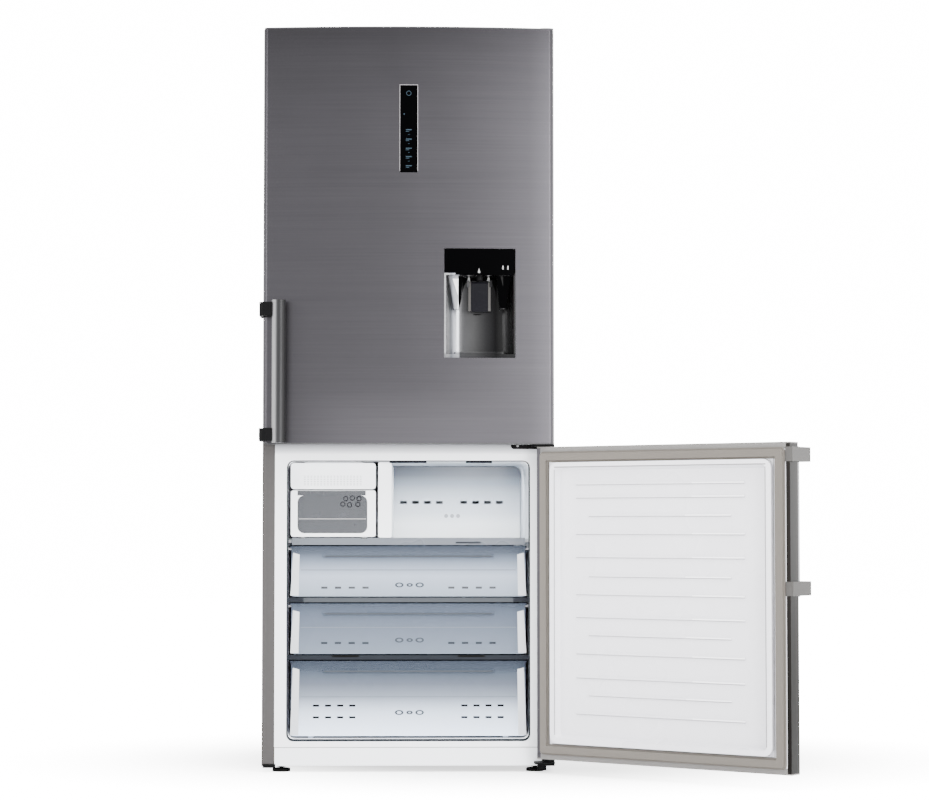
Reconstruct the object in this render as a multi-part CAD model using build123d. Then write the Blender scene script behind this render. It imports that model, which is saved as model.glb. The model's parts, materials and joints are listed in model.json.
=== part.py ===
from build123d import *
import math
import os

# Driving dimensions of the cabinet, in millimetres
cabinet_width = 700
cabinet_depth = 640
cabinet_bottom = 14
cabinet_top = 1784
sheet = 1.0
flange_width = 30
liner_thickness = 2.0
side_insulation = 58
back_insulation = 55
top_insulation = 42
middle_insulation = 76
bottom_insulation = 55
machine_roof_insulation = 42
machine_front_insulation = 48
opening_radius = 18
freezer_height = 662
flange_overlap = 19
kick_overlap = 20
machine_height = 208
machine_depth = 210
machine_recess = 3
pan_bottom = 20
pan_thickness = 2
foot_inset = 46
foot_setback = 30
foot_stem = 5
roller_inset = 85
roller_setback = 50
roller_radius = 14

# Driving dimensions of the shelves and drawers
crisper_room = 185
fridge_ledge_shares = [0.0, 0.1965, 0.401, 0.6055, 0.81]
shelf_drop = 189.3
shelf_glass = 4
drawer_front_gap = 14
drawer_gap = 17
drawer_rim = 4
drawer_side_gap = 8
lower_drawer_lift = 5
lower_drawer_drop = 11
middle_drawer_lift = 6
fittings_setback = 20
cover_distance = 72
ice_inset = 6
ice_width = 204
ice_axis_drop = 36
freezer_fan_x = 100
freezer_fan_drop = 57
condenser_fan_x = -20
condenser_fan_rise = 94
compressor_inset = 121
compressor_drop = 54

# Driving dimensions of the doors
door_inset = 4
door_edge_depth = 44
door_bow = 22
door_corner = 12
door_gap = 6
door_top_gap = 5
door_bottom_gap = 20
gasket_gap = 12
skin = 1.0
skin_return = 10
cap_thickness = 3
cap_plug = 12
hinge_inset = 20
hinge_reach = 30
pin_radius = 4
freezer_door_angle = 141.9
bar_inset = 22.6
bar_width = 31.9
bar_length = 339
upper_bar_rise = 2
freezer_bar_drop = 8.5
niche_width = 170
niche_height = 261
niche_rise = 205
niche_inset = 91.5
niche_wall = 3
niche_floor = 9
strip_height = 59
strip_depth = 40
lever_axis_drop = 22
lever_axis_depth = 20
display_half = 21
display_height = 210
display_drop = 141
display_depth = 60
dyke_inset = 9
dyke_width = 17
dyke_low_gap = 11
dyke_high_gap = 9

# Clearances
fit_gap = 0.2
clearance = 0.3
running_gap = 0.05
overrun = 60
small_pin = 3
corner_steps = 4
tub_corner_steps = 2
round_sides = 24
small_sides = 8

# Hinge plates and their screws
hinge_plate = 2.5
top_plate = 3
screw_shank = 2.0
screw_head = 3.4
screw_head_depth = 1.2
screw_reach = 24
middle_screw_far = 58
middle_screw_near = 8
middle_screw_drop = 2
bottom_screw_inset = 9
bottom_screw_rise = 4
top_screw_step = 20
top_screw_front = 28
top_screw_back = 68

# Derived places of the cabinet
half_width = cabinet_width / 2
face = -cabinet_depth / 2
rear = cabinet_depth / 2
flange_inner = half_width - flange_width
foam_outer = half_width - sheet
foam_inner = foam_outer - side_insulation
opening_half = foam_inner - liner_thickness
foam_back = rear - sheet
liner_back = foam_back - back_insulation
cavity_back = liner_back - liner_thickness
pan_top = pan_bottom + pan_thickness
freezer_floor = pan_top + bottom_insulation + liner_thickness
freezer_ceiling = freezer_floor + freezer_height
fridge_floor = freezer_ceiling + middle_insulation + 2 * liner_thickness
fridge_ceiling = cabinet_top - sheet - top_insulation - liner_thickness
freezer_flange_bottom = freezer_floor - kick_overlap
freezer_flange_top = freezer_ceiling + flange_overlap
fridge_flange_bottom = fridge_floor - flange_overlap
fridge_flange_top = cabinet_top - flange_width
machine_roof = pan_top + machine_height
machine_front = rear - machine_depth
machine_back = rear - machine_recess
machine_middle = (machine_front + machine_back) / 2
step_floor = machine_roof + machine_roof_insulation + liner_thickness
step_back = machine_front - machine_front_insulation
step_wall = step_back - liner_thickness
foot_x = half_width - foot_inset
foot_y = face + foot_setback
roller_x = half_width - roller_inset
roller_y = rear - roller_setback
condenser_fan_z = pan_top + condenser_fan_rise
compressor_x = foam_inner - compressor_inset
compressor_top = machine_roof - compressor_drop

# Derived places of the shelves and drawers
crisper_ledge = fridge_floor + crisper_room
fridge_ledges = [crisper_ledge + share * (fridge_ceiling - crisper_ledge) for share in fridge_ledge_shares]
shelf_ledge = freezer_ceiling - shelf_drop
glass_low = shelf_ledge + clearance
glass_top = glass_low + shelf_glass
lower_drawer_low = freezer_floor + lower_drawer_lift
lower_drawer_high = step_floor - lower_drawer_drop
middle_drawer_low = step_floor + middle_drawer_lift
upper_drawer_high = glass_low - drawer_front_gap
drawer_height = (upper_drawer_high - middle_drawer_low - drawer_gap) / 2
middle_drawer_high = middle_drawer_low + drawer_height
upper_drawer_low = middle_drawer_high + drawer_gap
drawer_ledges = [high - drawer_rim - clearance for high in (upper_drawer_high, middle_drawer_high)]
fittings_front = face + fittings_setback
cover_front = cavity_back - cover_distance
ice_x_low = -opening_half + ice_inset
ice_x_high = ice_x_low + ice_width
ice_axis_x = ice_x_low + ice_width / 2
ice_axis_z = freezer_ceiling - ice_axis_drop
freezer_fan_z = freezer_ceiling - freezer_fan_drop

# Derived places of the doors
door_split = (freezer_flange_top + fridge_flange_bottom) / 2
upper_door_low = door_split
upper_door_high = cabinet_top - door_top_gap
freezer_door_low = cabinet_bottom + door_bottom_gap
freezer_door_high = door_split - door_gap
door_half = half_width - door_inset
door_back = face - gasket_gap
door_side_front = door_back - door_edge_depth
door_crown = door_side_front - door_bow
hinge_x = half_width - hinge_inset
hinge_y = face - hinge_reach
bar_x_low = -door_half + bar_inset
bar_x_high = bar_x_low + bar_width
upper_bar_low = upper_door_low + upper_bar_rise
freezer_bar_high = freezer_door_high - freezer_bar_drop
niche_x_high = door_half - niche_inset
niche_x_low = niche_x_high - niche_width
niche_middle = (niche_x_low + niche_x_high) / 2
niche_z_low = upper_door_low + niche_rise
niche_z_high = niche_z_low + niche_height
niche_back = door_back + liner_thickness
strip_z_low = niche_z_high - strip_height
strip_back = door_back - strip_depth
lever_axis_y = door_back - lever_axis_depth
lever_axis_z = strip_z_low - lever_axis_drop
display_z_high = upper_door_high - display_drop
display_z_low = display_z_high - display_height
display_back = door_back - display_depth
dyke_outer = opening_half - dyke_inset
dyke_inner = dyke_outer - dyke_width
dyke_low = fridge_floor + dyke_low_gap
dyke_high = fridge_ceiling - dyke_high_gap
middle_screw_z = door_split - middle_screw_drop
middle_screw_xs = (flange_inner - middle_screw_far, half_width - middle_screw_near)
middle_screws = [(x, middle_screw_z) for x in middle_screw_xs]
bottom_screws = [(half_width - bottom_screw_inset, freezer_door_low + bottom_screw_rise)]
top_screws = [(hinge_x - share * top_screw_step, face + depth)
              for share, depth in ((2, top_screw_front), (0, top_screw_front), (1, top_screw_back))]


def area(u_low, u_high, v_low, v_high, radius=0, steps=corner_steps):
    """Rectangle between four limits, its corners rounded in a few flat steps where a radius is given."""
    middle = Pos((u_low + u_high) / 2, (v_low + v_high) / 2)
    half_u = (u_high - u_low) / 2
    half_v = (v_high - v_low) / 2
    if radius <= 0:
        return middle * Rectangle(2 * half_u, 2 * half_v)
    points = []
    right_angle = 90
    for quarter, (side_u, side_v) in enumerate([(1, 1), (-1, 1), (-1, -1), (1, -1)]):
        for step in range(steps + 1):
            turn = math.radians(right_angle * (quarter + step / steps))
            u = side_u * (half_u - radius) + radius * math.cos(turn)
            v = side_v * (half_v - radius) + radius * math.sin(turn)
            points.append((u, v))
    return middle * Polygon(*points, align=None)


def disc(u, v, radius):
    """Round sketch with its centre at u, v, for pins and their bores."""
    return Pos(u, v) * Circle(radius)


def faceted_disc(u, v, radius, sides=round_sides):
    """Nearly round sketch with flat sides, its centre at u, v."""
    return Pos(u, v) * RegularPolygon(radius, sides)


def along_x(sketch, x_low, x_high):
    """Extrude a sketch drawn in y and z between two x planes."""
    plane = Plane(origin=(x_low, 0, 0), x_dir=(0, 1, 0), z_dir=(1, 0, 0))
    return extrude(plane * sketch, amount=x_high - x_low)


def along_y(sketch, y_low, y_high):
    """Extrude a sketch drawn in x and z between two y planes."""
    plane = Plane(origin=(0, y_high, 0), x_dir=(1, 0, 0), z_dir=(0, -1, 0))
    return extrude(plane * sketch, amount=y_high - y_low)


def along_z(sketch, z_low, z_high):
    """Extrude a sketch drawn in x and y between two z planes."""
    return extrude(Plane(origin=(0, 0, z_low)) * sketch, amount=z_high - z_low)


def block(x_low, x_high, y_low, y_high, z_low, z_high):
    """Plain block given by its six sides."""
    return along_z(area(x_low, x_high, y_low, y_high), z_low, z_high)


def both_sides(shape):
    """The shape and its mirror image on the other side of the cabinet."""
    return [shape, mirror(shape, about=Plane.YZ)]


def flat_sided(sections):
    """Solid with flat walls between sections that have equal counts of corners and parallel sides."""
    rings = [[edge @ 0 for edge in section.face().outer_wire().order_edges()] for section in sections]
    faces = [Face(Wire.make_polygon(rings[0])), Face(Wire.make_polygon(rings[-1]))]
    for near, far in zip(rings, rings[1:]):
        for index, corner in enumerate(near):
            after = (index + 1) % len(near)
            faces.append(Face(Wire.make_polygon([corner, near[after], far[after], far[index]])))
    return Solid(Shell(faces))


def leaning_block(low_area, z_low, high_area, z_high):
    """Block whose walls lean between a lower and an upper outline."""
    low = Plane(origin=(0, 0, z_low)) * low_area
    high = Plane(origin=(0, 0, z_high)) * high_area
    return flat_sided([low, high])


def inset_area(limits, inset, radius):
    """Rectangle with softened corners, set in from four limits."""
    x_low, x_high, y_low, y_high = limits
    return area(x_low + inset, x_high - inset, y_low + inset, y_high - inset, radius, tub_corner_steps)


def tub(limits, z_low, z_high, radius, lean, wall):
    """Open tub whose walls lean inwards by the given amount at the floor."""
    outside = leaning_block(inset_area(limits, lean, radius), z_low, inset_area(limits, 0, radius), z_high)
    inner_radius = radius - wall
    floor_area = inset_area(limits, lean + wall, inner_radius)
    rim_area = inset_area(limits, wall, inner_radius)
    return outside - leaning_block(floor_area, z_low + wall, rim_area, z_high)


def slots(centres, z_middle, width, height, y_low, y_high):
    """Row of upright openings cut from front to back."""
    half = width / 2
    rise = height / 2
    return [block(x - half, x + half, y_low, y_high, z_middle - rise, z_middle + rise) for x in centres]


def joined(shapes):
    """All the shapes fused."""
    return Part() + list(shapes)


def group(*shapes):
    """Separate solids kept together in one node."""
    solids = []
    for shape in shapes:
        for part in shape if isinstance(shape, list) else [shape]:
            solids.extend(part.solids())
    return Compound(solids)


def door_outline(inset):
    """Plan outline of a door with a bowed front, set in from the outside by inset."""
    side = door_half - inset
    back = door_back - inset
    shoulder = door_side_front + inset
    front = ThreePointArc((side, shoulder), (0, door_crown + inset), (-side, shoulder))
    edges = Polyline((-side, shoulder), (-side, back), (side, back), (side, shoulder))
    outline = make_face(edges + front)
    front_corners = outline.vertices().sort_by(Axis.Y)[:2]
    return fillet(front_corners, door_corner - inset)


def door_core(z_low, z_high):
    """What fills the folded skin, with the pad that closes the opening in its back."""
    core = along_z(door_outline(skin + fit_gap), z_low, z_high)
    pad_half = door_half - skin_return - fit_gap
    return core + block(-pad_half, pad_half, door_back - skin - fit_gap, door_back, z_low, z_high)


def door_skin(z_low, z_high):
    """Steel skin folded round the front and both sides, with a return along each back edge."""
    gap_half = door_half - skin_return
    sketch = door_outline(0) - door_outline(skin)
    sketch = sketch - area(-gap_half, gap_half, door_back - skin - fit_gap, door_back + skin)
    return along_z(sketch, z_low + cap_thickness, z_high - cap_thickness)


def door_caps(z_low, z_high):
    """Upper and lower end caps, each with a plug inside the skin and a bushing for the hinge pin."""
    bore = along_z(disc(hinge_x, hinge_y, pin_radius + running_gap), z_low - clearance, z_high + clearance)
    low_inside = z_low + cap_thickness
    high_inside = z_high - cap_thickness
    low_cap = along_z(door_outline(0), z_low, low_inside) + door_core(low_inside, low_inside + cap_plug)
    high_cap = along_z(door_outline(0), high_inside, z_high) + door_core(high_inside - cap_plug, high_inside)
    return group(low_cap - bore, high_cap - bore)


def door_fill(z_low, z_high):
    """Foam-filled core between the plugs of the end caps."""
    margin = cap_thickness + cap_plug + fit_gap
    return door_core(z_low + margin, z_high - margin)


def gasket_ring(z_low, z_high, inset, width, y_low, y_high, radius):
    """One flat ring of the seal, set in from the door's outline."""
    side = door_half - inset
    low = z_low + inset
    high = z_high - inset
    outside = area(-side, side, low, high, radius)
    inside = area(width - side, side - width, low + width, high - width)
    return along_y(outside - inside, y_low, y_high)


def door_gasket(z_low, z_high):
    """Magnetic seal: a wide base strip with a narrower bulb on it."""
    inset = 12
    base_width = 25
    base_depth = 5
    bulb_margin = 4
    base_radius = 10
    seal_gap = 0.6
    bulb_back = door_back + base_depth
    bulb_width = base_width - 2 * bulb_margin
    base = gasket_ring(z_low, z_high, inset, base_width, door_back, bulb_back, base_radius)
    bulb = gasket_ring(z_low, z_high, inset + bulb_margin, bulb_width, bulb_back, face - seal_gap,
                       base_radius - bulb_margin)
    return base + bulb


def handle_bar(z_low):
    """Upright grip with a crowned front."""
    standoff = 4
    side_depth = 12
    crown_depth = 10
    soft = 3
    back = door_crown - standoff
    shoulder = back - side_depth
    crest = shoulder - crown_depth
    middle = (bar_x_low + bar_x_high) / 2
    front = ThreePointArc((bar_x_high, shoulder), (middle, crest), (bar_x_low, shoulder))
    rest = Polyline((bar_x_low, shoulder), (bar_x_low, back), (bar_x_high, back), (bar_x_high, shoulder))
    profile = make_face(rest + front)
    back_corners = profile.vertices().sort_by(Axis.Y)[-2:]
    return along_z(chamfer(back_corners, soft), z_low, z_low + bar_length)


def handle_brackets(bar_low, places):
    """Clamps that hook round the door's free edge and carry the bar, given by their places along it."""
    hook_reach = 11
    hook_depth = 2.5
    proud = 8
    arm_standoff = 7
    arm_depth = 14
    arm_back = door_crown - arm_standoff
    arm_front = arm_back - arm_depth
    bend = 8
    side = -door_half
    outer = side - proud
    points = [
        (side + hook_reach, door_back),
        (side + hook_reach, door_back + hook_depth),
        (outer, door_back + hook_depth),
        (outer, arm_front + bend),
        (outer + bend, arm_front),
        (bar_x_low, arm_front),
        (bar_x_low, arm_back),
        (side + bend, arm_back),
        (side, arm_back + bend),
        (side, door_back),
    ]
    profile = Polygon(*points, align=None)
    return group([along_z(profile, bar_low + low, bar_low + high) for low, high in places])


def hinge_screw_holes():
    """Round holes for the screws of all three hinges."""
    hole = screw_shank + fit_gap / 2
    depth = screw_reach + top_plate
    top = cabinet_top
    front_sites = middle_screws + bottom_screws
    cuts = [along_y(faceted_disc(x, z, hole, small_sides), face - depth, face + depth)
            for x, z in front_sites]
    for x, y in top_screws:
        cuts.append(along_z(faceted_disc(x, y, hole, small_sides), top - depth, top + depth))
    return cuts


def sunk_head_holes(sites):
    """Holes through a front plate with room for flat heads."""
    back = face - hinge_plate + screw_head_depth
    cuts = []
    for x, z in sites:
        hole = faceted_disc(x, z, screw_shank + running_gap, small_sides)
        sink = faceted_disc(x, z, screw_head + running_gap, small_sides)
        cuts.append(along_y(hole, face - hinge_plate, face))
        cuts.append(along_y(sink, face - 2 * hinge_plate, back))
    return cuts


def air_passage():
    """Way for cold air from the freezer up to the fridge."""
    half = 60
    depth = 16
    margin = 4
    through = 6
    back = cavity_back - margin
    return block(-half, half, back - depth, back, freezer_ceiling - through, fridge_floor + through)


def ledges(tops, y_low, y_high):
    """Ledges on both side walls, each given by its top height."""
    reach = 8
    thickness = 5
    shapes = []
    for top in tops:
        ledge = block(opening_half - reach, opening_half, y_low, y_high, top - thickness, top)
        shapes.extend(both_sides(ledge))
    return shapes


def build_wrapper():
    """Bent steel wrapper of two sides and a top, with the front flange turned inwards."""
    below = cabinet_bottom - overrun
    outside = area(-half_width, half_width, cabinet_bottom, cabinet_top)
    inside = area(-foam_outer, foam_outer, below, cabinet_top - sheet)
    opening = area(-flange_inner, flange_inner, below, fridge_flange_top)
    walls = along_y(outside - inside, face, rear)
    flange = along_y(outside - opening, face, face + sheet)
    return walls + flange - hinge_screw_holes()


def build_hinge_screws():
    """Flat screws of all three hinges, a group of separate solids."""
    screws = []
    front = face - hinge_plate
    for x, z in middle_screws + bottom_screws:
        shank = faceted_disc(x, z, screw_shank, small_sides)
        head = faceted_disc(x, z, screw_head, small_sides)
        stem = along_y(shank, front, face + screw_reach)
        screws.append(stem + along_y(head, front - fit_gap, front + screw_head_depth))
    plate_top = cabinet_top + top_plate
    for x, y in top_screws:
        shank = faceted_disc(x, y, screw_shank, small_sides)
        head = faceted_disc(x, y, screw_head, small_sides)
        stem = along_z(shank, cabinet_top - screw_reach, plate_top)
        screws.append(stem + along_z(head, plate_top, plate_top + screw_head_depth))
    return group(screws)


def build_foam():
    """Insulation slabs between the liners and the wrapper."""
    setback = 3
    bottom_setback = 6
    pocket_radius = 8
    pocket_height = 20
    front = face + setback
    bottom_front = face + bottom_setback
    pocket_top = pan_top + pocket_height
    side_top = fridge_ceiling + liner_thickness
    middle_low = freezer_ceiling + liner_thickness
    middle_high = fridge_floor - liner_thickness
    inner = foam_inner
    outer = foam_outer
    holes = hinge_screw_holes()
    side = block(inner, outer, front, foam_back, pan_top, side_top)
    pocket = faceted_disc(foot_x, foot_y, pocket_radius, small_sides)
    side = side - along_z(pocket, pan_top - clearance, pocket_top)
    left = mirror(side, about=Plane.YZ)
    top = block(-outer, outer, front, foam_back, side_top, cabinet_top - sheet) - holes
    middle = block(-inner, inner, front, foam_back, middle_low, middle_high) - air_passage() - holes
    upper_back = block(-inner, inner, liner_back, foam_back, middle_high, side_top)
    lower_back = block(-inner, inner, liner_back, foam_back, machine_roof, middle_low)
    roof = block(-inner, inner, step_back, liner_back, machine_roof, step_floor - liner_thickness)
    riser = block(-inner, inner, step_back, machine_front, pan_top, machine_roof)
    bottom = block(-inner, inner, bottom_front, step_back, pan_top, freezer_floor - liner_thickness)
    return group(left, side - holes, top, middle, upper_back, lower_back, roof, riser, bottom)


def cavity(floor, ceiling, y_low, y_high, grow):
    """Solid as large as a liner's inside, or as its outside where grow is the wall."""
    outline = area(-opening_half - grow, opening_half + grow, floor - grow, ceiling + grow,
                   opening_radius + grow)
    return along_y(outline, y_low, y_high + grow)


def mouth_flange(z_low, z_high):
    """Flat flange round a liner's mouth."""
    return along_y(area(-flange_inner, flange_inner, z_low, z_high), face, face + liner_thickness)


def build_fridge_liner():
    """White moulded inner box of the fridge, with ledges for its shelves."""
    front_margin = 130
    back_margin = 34
    ledge_front = face + front_margin
    ledge_back = cavity_back - back_margin
    wall = liner_thickness
    inside = cavity(fridge_floor, fridge_ceiling, face - wall, cavity_back, 0)
    outside = cavity(fridge_floor, fridge_ceiling, face + wall, cavity_back, wall)
    shell = mouth_flange(fridge_flange_bottom, fridge_flange_top) + outside - inside
    return shell + ledges(fridge_ledges, ledge_front, ledge_back) - air_passage()


def build_freezer_liner():
    """White moulded inner box of the freezer, stepped over the machine compartment."""
    front_margin = 40
    back_margin = 10
    ledge_front = face + front_margin
    ledge_back = cover_front - back_margin
    wall = liner_thickness
    inside = cavity(freezer_floor, freezer_ceiling, face - wall, step_wall, 0)
    inside = inside + cavity(step_floor, freezer_ceiling, step_wall - wall, cavity_back, 0)
    outside = cavity(freezer_floor, freezer_ceiling, face + wall, step_wall, wall)
    outside = outside + cavity(step_floor, freezer_ceiling, step_wall, cavity_back, wall)
    shell = mouth_flange(freezer_flange_bottom, freezer_flange_top) + outside - inside
    return shell + ledges([shelf_ledge] + drawer_ledges, ledge_front, ledge_back) - air_passage()


def build_centre_rail():
    """White rail between the two openings."""
    rail = block(-flange_inner, flange_inner, face, face + liner_thickness, freezer_flange_top,
                 fridge_flange_bottom)
    return rail - hinge_screw_holes()


def build_kick_panel():
    """White base cover with clips behind it."""
    half = flange_inner - sheet
    low = cabinet_bottom + sheet
    high = freezer_flange_bottom - sheet
    soft = 1
    thickness = 3
    back = face + thickness
    clip_half = 10
    clip_depth = 2.8
    clip_margin = 8
    clip_back = back + clip_depth
    clip_low = pan_top + clip_margin
    clip_high = high - clip_margin
    clip_share = 0.63
    clip_spacing = half * clip_share
    panel = along_y(area(-half, half, low, high, soft), face, back)
    centres = [-clip_spacing, 0, clip_spacing]
    clips = [block(x - clip_half, x + clip_half, back, clip_back, clip_low, clip_high) for x in centres]
    return panel + clips


def build_base_frame():
    """Steel pan with down-turned lips, ears for the rear rollers and a corner bracket."""
    half = foam_outer - fit_gap
    lip = 1.5
    setback = 6
    front_edge = face + setback
    pan = block(-half, half, front_edge, machine_back, pan_bottom, pan_top)
    front_lip = block(-half, half, front_edge, front_edge + lip, cabinet_bottom, pan_bottom)
    side_lip = block(half - lip, half, front_edge, machine_back, cabinet_bottom, pan_bottom)
    ear_inner = 13
    ear_outer = 15
    ear_half = 9
    ear_low = 6
    window_half = 17
    axle_low = roller_x - ear_outer - sheet
    axle_high = roller_x + ear_outer + sheet
    ear_front = roller_y - ear_half
    ear_back = roller_y + ear_half
    ears = [block(roller_x + near, roller_x + far, ear_front, ear_back, ear_low, pan_bottom)
            for near, far in ((ear_inner, ear_outer), (-ear_outer, -ear_inner))]
    axle_hole = along_x(disc(roller_y, roller_radius, pin_radius + running_gap), axle_low, axle_high)
    window = block(roller_x - ear_inner, roller_x + ear_inner, roller_y - window_half,
                   roller_y + window_half, pan_bottom - sheet, pan_top + sheet)
    boss_radius = 11
    boss_low = 11
    boss = along_z(faceted_disc(foot_x, foot_y, boss_radius, small_sides), boss_low, pan_bottom)
    stem_hole = along_z(disc(foot_x, foot_y, foot_stem + running_gap), 0, pan_top + sheet)
    bracket_inset = 3
    bracket_width = 30
    bracket_reach = 3
    bracket_drop = 3.5
    bracket_rise = 5.5
    bracket_far = bracket_inset - half_width
    bracket_near = bracket_far + bracket_width
    bracket_front = face - bracket_reach
    bracket_low = cabinet_bottom - bracket_drop
    bracket_high = cabinet_bottom + bracket_rise
    bracket = block(bracket_far, bracket_near, bracket_front, front_edge + lip, bracket_low, cabinet_bottom)
    upright = block(bracket_far, bracket_near, bracket_front, face, bracket_low, bracket_high)
    frame = pan + front_lip + both_sides(side_lip) + both_sides(joined(ears)) + both_sides(boss)
    frame = frame + (bracket + upright)
    return frame - both_sides(axle_hole) - both_sides(window) - both_sides(stem_hole)


def build_foot(x):
    """Levelling foot: a disc with its stem."""
    pad_radius = 21.5
    pad_height = 8
    edge = 1.5
    stem_top = 38
    pad = along_z(faceted_disc(x, foot_y, pad_radius), 0, pad_height)
    pad = chamfer(pad.edges().group_by(Axis.Z)[-1], edge)
    return pad + along_z(disc(x, foot_y, foot_stem), pad_height, stem_top)


def build_roller(x):
    """Rear roller with its axle."""
    half = 11
    axle_half = 15
    edge = 1.5
    profile = faceted_disc(roller_y, roller_radius, roller_radius)
    wheel = along_x(profile, x - half, x + half)
    rims = wheel.edges().group_by(Axis.X)
    wheel = chamfer(rims[0] + rims[-1], edge)
    return wheel + along_x(disc(roller_y, roller_radius, pin_radius), x - axle_half, x + axle_half)


def build_top_hinge():
    """Joggled plate that steps down from the roof to carry the upper pin."""
    foot_width = 60
    foot_depth = 84
    tip_half = 18
    tip_reach = 16
    tip_margin = 5
    foot_corner = 6
    tip_corner = 12
    arm_gap = 0.5
    pin_length = 14
    foot_left = hinge_x - foot_width
    foot_back = face + foot_depth
    right = foam_outer - sheet
    tip_left = hinge_x - tip_half
    tip_front = hinge_y - tip_reach
    step_front = face - clearance
    arm_low = upper_door_high + arm_gap
    arm_high = arm_low + top_plate
    plate_high = cabinet_top + top_plate
    profile = Polygon((tip_front, arm_low), (step_front, arm_low), (step_front, cabinet_top),
                      (foot_back, cabinet_top), (foot_back, plate_high),
                      (step_front - top_plate, plate_high), (step_front - top_plate, arm_high),
                      (tip_front, arm_high), align=None)
    foot_area = area(foot_left, right, step_front - top_plate, foot_back, foot_corner)
    tip_area = area(tip_left, right, tip_front, foot_back - tip_margin, tip_corner)
    plate = along_x(profile, foot_left, right) & along_z(foot_area + tip_area, arm_low, plate_high)
    pin = along_z(disc(hinge_x, hinge_y, pin_radius), arm_low - pin_length, arm_low)
    holes = [along_z(faceted_disc(x, y, screw_shank + running_gap, small_sides), cabinet_top, plate_high)
             for x, y in top_screws]
    return plate + pin - holes


def build_hinge_cover():
    """Plastic cap over the top hinge, low at the front and rising to the back."""
    wall = 1.8
    left_reach = 66
    front_setback = 10
    knee_reach = 2
    crest_depth = 30
    back_depth = 92
    arm_gap = 0.8
    knee_rise = 2.6
    crest_rise = 12
    back_rise = 14
    x_low = hinge_x - left_reach
    x_high = half_width - sheet
    front = hinge_y + front_setback
    step_front = face - clearance
    knee = face - knee_reach
    crest = face + crest_depth
    back = face + back_depth
    low = upper_door_high + top_plate + arm_gap
    front_top = low + wall
    knee_top = cabinet_top + top_plate + knee_rise
    crest_top = cabinet_top + crest_rise
    back_top = cabinet_top + back_rise
    skyline = [(front, front_top), (knee, knee_top), (crest, crest_top), (back, back_top)]
    underside = [(back, cabinet_top), (step_front, cabinet_top), (step_front, low)]
    outside = [(front, low)] + skyline + underside
    hollow = [
        (front + wall, low - wall),
        (front + wall, front_top - wall / 2),
        (knee, knee_top - wall),
        (crest, crest_top - wall),
        (back - wall, back_top - wall),
        (back - wall, cabinet_top - wall),
        (step_front, cabinet_top - wall),
        (step_front, low - wall),
    ]
    shell = along_x(Polygon(*outside, align=None), x_low, x_high)
    return shell - along_x(Polygon(*hollow, align=None), x_low + wall, x_high - 2 * fit_gap)


def build_middle_hinge():
    """Plate between the doors with one pin up and one pin down."""
    plate_reach = 74
    plate_drop = 10
    plate_rise = 6
    plate_corner = 6
    arm_half = 36
    arm_reach = 16
    root_setback = 8
    arm_corner = 14
    plate_left = flange_inner - plate_reach
    plate_low = door_split - plate_drop
    plate_high = door_split + plate_rise
    arm_left = hinge_x - arm_half
    arm_front = hinge_y - arm_reach
    arm_low = freezer_door_high + sheet
    arm_high = upper_door_low - sheet
    plate_area = area(plate_left, half_width, plate_low, plate_high, plate_corner, 2)
    plate = along_y(plate_area, face - hinge_plate, face)
    tip_area = area(arm_left, foam_outer, arm_front, face, arm_corner)
    root_area = area(arm_left, foam_outer, hinge_y + root_setback, face)
    arm = along_z(tip_area + root_area, arm_low, arm_high)
    pin_reach = 14
    pins = along_z(disc(hinge_x, hinge_y, pin_radius), arm_low - pin_reach, arm_high + pin_reach)
    return plate + arm + pins - sunk_head_holes(middle_screws)


def build_bottom_hinge():
    """Bracket under the freezer door with its pin."""
    plate_rise = 10
    arm_drop = 12
    arm_thickness = 4
    arm_half = 30
    arm_reach = 18
    arm_corner = 12
    root_setback = 5
    foot_width = 22
    foot_setback = 12
    foot_low = 5
    pin_rise = 13
    plate_left = flange_inner + sheet
    plate_right = half_width - 2 * sheet
    plate_high = freezer_door_low + plate_rise
    arm_low = freezer_door_low - arm_drop
    arm_high = arm_low + arm_thickness
    arm_left = hinge_x - arm_half
    arm_front = hinge_y - arm_reach
    foot_left = hinge_x - foot_width
    foot_right = hinge_x - sheet
    foot_front = hinge_y + foot_setback
    plate = block(plate_left, plate_right, face - hinge_plate, face, cabinet_bottom, plate_high)
    tip_area = area(arm_left, foam_outer, arm_front, face - hinge_plate, arm_corner)
    root_area = area(arm_left, foam_outer, hinge_y + root_setback, face)
    arm = along_z(tip_area + root_area, arm_low, arm_high)
    foot = block(foot_left, foot_right, foot_front, face - fit_gap, foot_low, arm_low)
    pin_top = freezer_door_low + pin_rise
    washer_radius = 8
    washer_top = freezer_door_low - sheet
    pin = along_z(disc(hinge_x, hinge_y, pin_radius), arm_high, pin_top)
    washer = along_z(faceted_disc(hinge_x, hinge_y, washer_radius, 2 * small_sides), arm_high, washer_top)
    return plate + arm + foot + pin + washer - sunk_head_holes(bottom_screws)


def shares_between(low, high, count):
    """Evenly spaced places from low to high."""
    return [low + (high - low) * index / (count - 1) for index in range(count)]


def polygon_tube(y, z, radius, x_low, x_high):
    """Six-sided length of tube along x."""
    return along_x(faceted_disc(y, z, radius, 6), x_low, x_high)


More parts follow.
